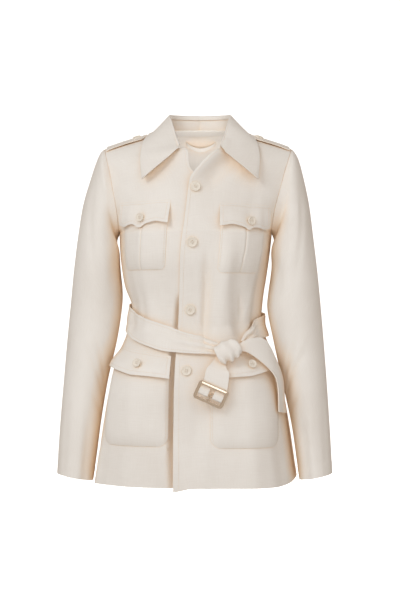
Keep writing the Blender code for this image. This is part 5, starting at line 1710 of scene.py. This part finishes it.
# %% [markdown]
# ## Belt band
# The band lies a little off the waist, hugs it on the wearer's right, and towards the knot its width is drawn
# together into pleats. A Shrinkwrap modifier would press it into every fold of the cloth. Rows across
# the belt are set on the body's table instead, with a lift of their own.

# %% Belt band
BELT_CLOTH = 0.0022
BELT_LIFT = 0.0055
BELT_CROWN = 0.0012
BELT_COLUMNS = 25
SNUG = 0.55
SNUG_AT = -95
SNUG_WIDE = 45
PLEATS = 2.4
PLEAT_RISE = 0.0016
LAP_BLEND = 26


def belt_row(turn, z, half_width, gather):
    """Points across the belt at a turn from the middle front, foot to head."""
    turn = (turn + 180) % 360 - 180
    side, size = (1 if turn >= 0 else -1), abs(turn)
    half = "front" if size <= 90 else "back"
    share = size / 90 if half == "front" else (180 - size) / 90
    across = np.linspace(-1, 1, BELT_COLUMNS)
    pleat = gather * PLEAT_RISE * np.cos(math.pi * PLEATS * across + 0.04 * turn)
    snug = 1 - SNUG * math.exp(-((turn - SNUG_AT) / SNUG_WIDE) ** 2)
    lift = BELT_LIFT * snug + BELT_CROWN * (1 - across ** 2) + pleat * (1 - 0.5 * across ** 4)
    height = z + across * half_width
    laid = FACES[(half, side)].raised(np.full(BELT_COLUMNS, share), height, lift, True)[0]
    if half == "back" or not -LAP_BLEND < turn < 0:
        return laid
    over = FACES[("front", 1)].raised(np.full(BELT_COLUMNS, turn / 90), height, lift, True)[0]
    near = float(ease((turn + LAP_BLEND) / LAP_BLEND))
    return laid * (1 - near) + over * near


def belt_grid():
    """Rows of the band from the knot, round the back and up to the knot again."""
    rows = []
    right_turns = np.linspace(BELT_RIGHT[0].turn, BELT_RIGHT[-1].turn, 205)
    left_turns = np.linspace(BELT_LEFT[0].turn, BELT_LEFT[-1].turn, 141)[1:]
    for table, turns in ((BELT_RIGHT, right_turns), (BELT_LEFT, left_turns)):
        values = along([row.turn for row in table], [row[1:] for row in table], turns)
        for turn, (z, half_width) in zip(turns, values):
            gather = ease((turn + 32) / 50) if table is BELT_RIGHT else ease((84 - turn) / 40)
            rows.append(belt_row(turn, z, half_width, float(gather)))
    return np.array(rows)


BAND = belt_grid()
cut_sheet("belt_band", BAND, BELT_CLOTH, grow=1, held="gathered", rests_on=["front_left_cloth", "back_cloth"])
sew("belt_band", BAND, [[(0.10, 0.01), (0.10, 0.99)], [(0.90, 0.01), (0.90, 0.99)]],
    BELT_CLOTH + THREAD_LIFT, 1)
print("belt band:", BAND.shape)

# %% [markdown]
# ## Knot
# The knot is one wrap of the belt over the crossing of its ends. Tying a real path would bury most of
# its cloth inside, so only the wrap that shows is made: a band bent over the crossing on three axes, along
# the belt, across it and out. Waves pleat it, and its lower edge is ruffled.

# %% Knot
# The knot's wrap: its middle, its tilt, turn and lean in degrees, its half sizes and the turn of its band
KNOT_AT = (0.0540, -0.1400, -0.4400)
KNOT_TILT = 25
KNOT_TURN = 16
KNOT_LEAN = 14
KNOT_ALONG = 0.0250
KNOT_ACROSS = 0.0225
KNOT_OUT = 0.0170
KNOT_FROM = -58
KNOT_TO = 97
KNOT_PLEAT = 0.0011
KNOT_RUFFLE = 0.0026


def knot_axes():
    """Directions along the belt, across it and out of the knot."""
    tilt, turn, lean = (math.radians(angle) for angle in (KNOT_TILT, KNOT_TURN, KNOT_LEAN))
    out = np.array([math.sin(turn), -math.cos(turn), 0])
    flat = np.array([math.cos(turn), math.sin(turn), 0])
    up = np.array([0, 0, 1.0])
    across = up * math.cos(tilt) - flat * math.sin(tilt)
    along_belt = flat * math.cos(tilt) + up * math.sin(tilt)
    leaning = across * math.cos(lean) - out * math.sin(lean)
    return along_belt, leaning, out * math.cos(lean) + across * math.sin(lean)


def knot_grid(turns, columns):
    """The wrap of the knot: a band bent over the crossing, pleated, with a ruffled lower edge."""
    along_belt, across_belt, out = knot_axes()
    angle = np.radians(np.linspace(KNOT_FROM, KNOT_TO, turns))[:, None, None]
    share = np.linspace(-1, 1, columns)[None, :, None]
    narrow = 0.78 + 0.22 * np.cos(angle)
    swell = 1 - 0.20 * share ** 2
    ruffle = ease((-np.degrees(angle) - 8) / 50)
    pleat = KNOT_PLEAT * np.cos(7.0 * share + 0.8 * np.sin(2 * angle))
    pleat = pleat + KNOT_RUFFLE * ruffle * np.cos(9.5 * share + 0.6)
    radius = KNOT_OUT * np.cos(angle) * swell + pleat * np.cos(angle)
    return (np.array(KNOT_AT) + along_belt * KNOT_ALONG * share * narrow
            + across_belt * (KNOT_ACROSS * np.sin(angle) * swell + pleat * np.sin(angle)) + out * radius)


KNOT = knot_grid(61, 61)
cut_sheet("belt_knot", KNOT, BELT_CLOTH, held="folded", rests_on=["belt_band_cloth"])
print("knot:", KNOT.shape)

# %% [markdown]
# ## Hanging ends
# From the knot one end of the belt hangs free and the other runs down to the buckle. A flat strip could be
# bent by a Curve modifier, but the two edges of a belt never run alike. So both edges are given, and a grid
# is laid between them.

# %% Measures of the hanging ends
# Both edges of the hanging ends, from the knot down
Edges = namedtuple("Edges", "ax ay az bx by bz")
FREE_TAIL = [
    Edges(0.0720, -0.1260, -0.4420, 0.0780, -0.1230, -0.4240),
    Edges(0.0880, -0.1270, -0.4390, 0.1010, -0.1150, -0.4140),
    Edges(0.1120, -0.1240, -0.4530, 0.1290, -0.0960, -0.4180),
    Edges(0.1420, -0.1190, -0.4800, 0.1500, -0.0840, -0.4560),
    Edges(0.1520, -0.1150, -0.5060, 0.1640, -0.0760, -0.4960),
    Edges(0.1540, -0.1140, -0.5560, 0.1680, -0.0730, -0.5610),
]
BUCKLE_TAIL = [
    Edges(0.0350, -0.1380, -0.4470, 0.0500, -0.1390, -0.4500),
    Edges(0.0270, -0.1480, -0.4560, 0.0500, -0.1490, -0.4640),
    Edges(0.0140, -0.1580, -0.4720, 0.0575, -0.1590, -0.4810),
]
BUCKLE_AT = (0.0225, -0.1690, -0.5190)
BUCKLE_TILT = -24
BUCKLE_LEAN = 3
BUCKLE_WIDE = 0.061
BUCKLE_TALL = 0.037
BUCKLE_WIRE = 0.0024
BAR_RADIUS = 0.0017
BAR_DROP = 0.0035
print("buckle:", BUCKLE_WIDE, "by", BUCKLE_TALL)

# %% [markdown]
# ## The belt's end in the buckle
# The belt's end passes behind the buckle's head, round its bar and up behind itself, with a slot for the
# prong. Bent by eye it would cut through the metal, so its path is worked out from the sizes of the wire
# and the bar. The free end is moved clear of the cloth behind it with the collar's search tree.

# %% Hanging ends
BEHIND_GAP = 0.0006
WRAP_GAP = 0.0005
FREE_BOW = -0.0016
FREE_CLEAR = 0.0090
TAIL_EASE = 0.0016
FINER = 6
SLOT_COLUMNS = slice(6, 9)


def buckle_matrix():
    """Where the buckle hangs, and how it is tilted and leans."""
    lean = Matrix.Rotation(math.radians(BUCKLE_LEAN), 4, "X")
    tilt = Matrix.Rotation(-math.radians(BUCKLE_TILT), 4, "Y")
    return Matrix.Translation(Vector(BUCKLE_AT)) @ tilt @ lean


def loop_path():
    """Height and depth of the belt's end in the buckle: behind its head, round its bar, up behind."""
    half_wall = BELT_CLOTH / 2
    behind = BUCKLE_WIRE + half_wall + BEHIND_GAP
    wrap = BAR_RADIUS + half_wall + WRAP_GAP
    head = BUCKLE_TALL / 2
    path = [(head + 0.005, behind), (head - 0.0024, behind), (head - 0.0090, 0.0020)]
    path.append((-BAR_DROP + 0.0055, -0.0026))
    for angle in np.radians(np.linspace(-8, 188, 8)):
        path.append((-BAR_DROP - wrap * math.sin(angle), -wrap * math.cos(angle)))
    path.extend([(0.0030, 0.0050), (head - 0.0110, 0.0062)])
    return path


def edge_rows(table):
    """Pairs of edge points from a table."""
    return np.array([[(row.ax, row.ay, row.az), (row.bx, row.by, row.bz)] for row in table])


def between(edges, columns, bow):
    """A grid between two edges, bowed out a little along its own normal."""
    share = np.linspace(0, 1, columns)[None, :, None]
    grid = edges[:, :1] * (1 - share) + edges[:, 1:] * share
    return grid + grid_normals(grid) * bow * np.sin(math.pi * share)


FREE = clear_of(TREE, between(flowing(edge_rows(FREE_TAIL), 80), 17, FREE_BOW), FREE_CLEAR)
cut_sheet("belt_tail_free", FREE, BELT_CLOTH, grow=0, held="hung", rests_on=["belt_knot_cloth"])
sew("belt_tail_free", FREE, [[(0.10, 0.02), (0.10, 0.97), (0.90, 0.97), (0.90, 0.02)]],
    BELT_CLOTH / 2 + THREAD_LIFT, 1)
place = np.array(buckle_matrix())
half = BUCKLE_WIDE / 2 - 2 * BUCKLE_WIRE - TAIL_EASE
rows = [list(row) for row in flowing(edge_rows(BUCKLE_TAIL), 5)]
slot_from = len(rows) + 2
rows += [[(place @ np.array([x, y, z, 1.0]))[:3] for x in (-half, half)] for z, y in loop_path()]
TAIL = between(flowing(np.array(rows), (len(rows) - 1) * FINER + 1), 16, 0.0)
slot = (slice(slot_from * FINER, (len(rows) - 2) * FINER), SLOT_COLUMNS)
cut_sheet("belt_tail_buckle", TAIL, BELT_CLOTH, grow=0, skip=slot, held="folded",
          rests_on=["belt_knot_cloth"])
print("hanging ends:", FREE.shape, TAIL.shape)

# %% [markdown]
# ## Buckle
# The buckle is a soft square bar bent to a rounded oblong, with a round cross bar in its middle. A curve
# with a bevel could draw it, but the face of the head leans back to the light, and a bevel can't lean on
# one side alone. So rings of points are set round the path, tilted at the head, and skinned.

# %% Buckle
CORNER = 0.004
CORNER_STEPS = 10
BAR_EDGES = 20
SECTION_SIZE = 0.94
SECTION_WIDE = 1.45
SECTION_IN = 0.0009
HEAD_LEAN = 0.46


def add_skin(shape, rings, closed):
    """A skin over rings of points: joined head to tail, or open with flat ends."""
    loops = [[shape.verts.new(point) for point in ring] for ring in rings]
    count = len(loops[0])
    pairs = list(zip(loops, loops[1:])) + ([(loops[-1], loops[0])] if closed else [])
    for low, high in pairs:
        for k in range(count):
            ahead = (k + 1) % count
            shape.faces.new((low[k], low[ahead], high[ahead], high[k]))
    if not closed:
        shape.faces.new(loops[0][::-1])
        shape.faces.new(loops[-1])


def squared(angle, size, power=0.5):
    """A point on a bar's section: square with soft corners."""
    c, s = math.cos(angle), math.sin(angle)
    return size * math.copysign(abs(c) ** power, c), size * math.copysign(abs(s) ** power, s)


def buckle_mesh():
    """The frame as a bar of soft square section bent to a rounded oblong, with its cross bar."""
    wide, tall = BUCKLE_WIDE / 2 - BUCKLE_WIRE, BUCKLE_TALL / 2 - BUCKLE_WIRE
    path, ahead = [], []
    for quarter, (sx, sz) in enumerate(((1, 1), (-1, 1), (-1, -1), (1, -1))):
        for step in range(CORNER_STEPS):
            angle = math.radians(90 * quarter + 10 * step)
            path.append((sx * (wide - CORNER) + CORNER * math.cos(angle),
                         sz * (tall - CORNER) + CORNER * math.sin(angle)))
            ahead.append((-math.sin(angle), math.cos(angle)))
    rings = []
    for (x, z), (tx, tz) in zip(path, ahead):
        ring = []
        lean = float(ease((z / tall - 0.5) / 0.4))
        for k in range(BAR_EDGES):
            side, out = squared(2 * math.pi * (k + 0.5) / BAR_EDGES, BUCKLE_WIRE * SECTION_SIZE)
            side = side * SECTION_WIDE - SECTION_IN
            ring.append((x + tz * side, out + HEAD_LEAN * side * lean, z - tx * side))
        rings.append(ring)
    shape = bmesh.new()
    add_skin(shape, rings, True)
    turns = [2 * math.pi * k / BAR_EDGES for k in range(BAR_EDGES)]
    section = [(BAR_RADIUS * math.cos(t), -BAR_DROP + BAR_RADIUS * math.sin(t)) for t in turns]
    add_skin(shape, [[(x, y, z) for y, z in section] for x in (-wide, 0.0, wide)], False)
    bmesh.ops.recalc_face_normals(shape, faces=shape.faces)
    return kept_mesh("buckle_bent", shape)


BUCKLE = buckle_mesh()
print("buckle faces:", len(BUCKLE.polygons))

# %% [markdown]
# ## Prong
# The prong is a wire curled round the cross bar, through the slot in the cloth, and it rests over the
# frame's foot. As part of the buckle's mesh it could not swing, so it rides on a body of its own.

# %% Prong
PRONG_TUBE = 0.0013
PRONG_SIDES = 14
PRONG_STEPS = 8
PRONG_TAPER = 0.35
PRONG_FROM = -0.0045
PRONG_PAST = 0.0012
CURL_FROM = 250
CURL_STEPS = 22
CURL_GAP = 0.0004
REST_GAP = 0.0005
METAL_SHARP = 40


def prong_mesh():
    """A wire curled round the bar that runs down and thins to its tip over the frame's foot."""
    curl = BAR_RADIUS + PRONG_TUBE + CURL_GAP
    path = [(-curl * math.cos(angle), curl * math.sin(angle))
            for angle in np.radians(np.linspace(CURL_FROM, 0, CURL_STEPS))]
    rest = -(BUCKLE_WIRE + PRONG_TUBE + REST_GAP)
    foot = BAR_DROP - BUCKLE_TALL / 2 + BUCKLE_WIRE
    path += [(rest, z) for z in np.linspace(PRONG_FROM, foot - PRONG_PAST, PRONG_STEPS)]
    path = np.array(path)
    ahead = np.gradient(path, axis=0)
    ahead = ahead / np.linalg.norm(ahead, axis=1)[:, None]
    rings = []
    turns = [2 * math.pi * k / PRONG_SIDES for k in range(PRONG_SIDES)]
    for number, ((y, z), (ty, tz)) in enumerate(zip(path, ahead)):
        size = PRONG_TUBE * (1 - PRONG_TAPER * ease((number - CURL_STEPS + 1) / PRONG_STEPS))
        rings.append([(size * math.cos(t), y + tz * size * math.sin(t), z - ty * size * math.sin(t))
                      for t in turns])
    shape = bmesh.new()
    add_skin(shape, rings, False)
    bmesh.ops.recalc_face_normals(shape, faces=shape.faces)
    return kept_mesh("prong_curled", shape)


on_bar = buckle_matrix() @ Matrix.Translation(Vector((0, 0, -BAR_DROP)))
METAL = [("buckle_bent", BUCKLE, buckle_matrix(), "jacket", "buckle_frame"),
         ("prong_curled", prong_mesh(), on_bar, "prong", "buckle_prong")]
for name, mesh, matrix, body, node in METAL:
    mesh.transform(matrix)
    mesh.polygons.foreach_set("use_smooth", [True] * len(mesh.polygons))
    mesh.set_sharp_from_angle(angle=math.radians(METAL_SHARP))
    add_piece(name, mesh, GOLD, body, node)
print("buckle and prong placed")

# %% [markdown]
# ## Hanger loop
# Inside the back neck a narrow strip is sewn down at both ends and sags between them, so that the jacket can
# hang on a hook. A bent tube would look like a cord, so it is a flat strip that stands off the cloth
# behind it, placed by measure on the back's own face.

# %% Hanger loop
LOOP_SPAN = (-0.026, 0.035)
LOOP_TOP = -0.0150
LOOP_CLOTH = 0.0012
LOOP_WIDE = 0.0075
LOOP_SAG = 0.0115
LOOP_STAND = 0.0090


def loop_grid(stations, columns):
    """Points of the strip from its one sewn end to the other."""
    rows = []
    for t in np.linspace(0, 1, stations):
        x = LOOP_SPAN[0] + (LOOP_SPAN[1] - LOOP_SPAN[0]) * t
        sag = LOOP_SAG * math.sin(math.pi * t) ** 0.8
        z = LOOP_TOP - sag - LOOP_WIDE * np.linspace(0, 1, columns)
        off = LOOP_STAND * math.sin(math.pi * t) ** 0.7
        face = FACES[("back", 1 if x >= 0 else -1)]
        rows.append(face.raised(np.full(columns, abs(x)), z, -(CLOTH + 2.4 * LIE + off))[0])
    return np.array(rows)


LOOP = loop_grid(33, 5)
cut_sheet("hanger_loop", LOOP, LOOP_CLOTH, held="hung", rests_on=["back_cloth"])
print("loop:", LOOP.shape, "area", round(grid_area(LOOP), 6))

# %% [markdown]
# ## The cut list
# Every sheet keeps the rectangle it was cut from and its own flat area, as a maker's cutting list would give
# them. They could be typed in, but would go stale with the next edit. So they are measured on
# the cloth's grid, since cloth bends but hardly stretches.

for thing, across, down, area, held, rests_on in SHEETS:
    node = thing.name.removesuffix("_cloth")
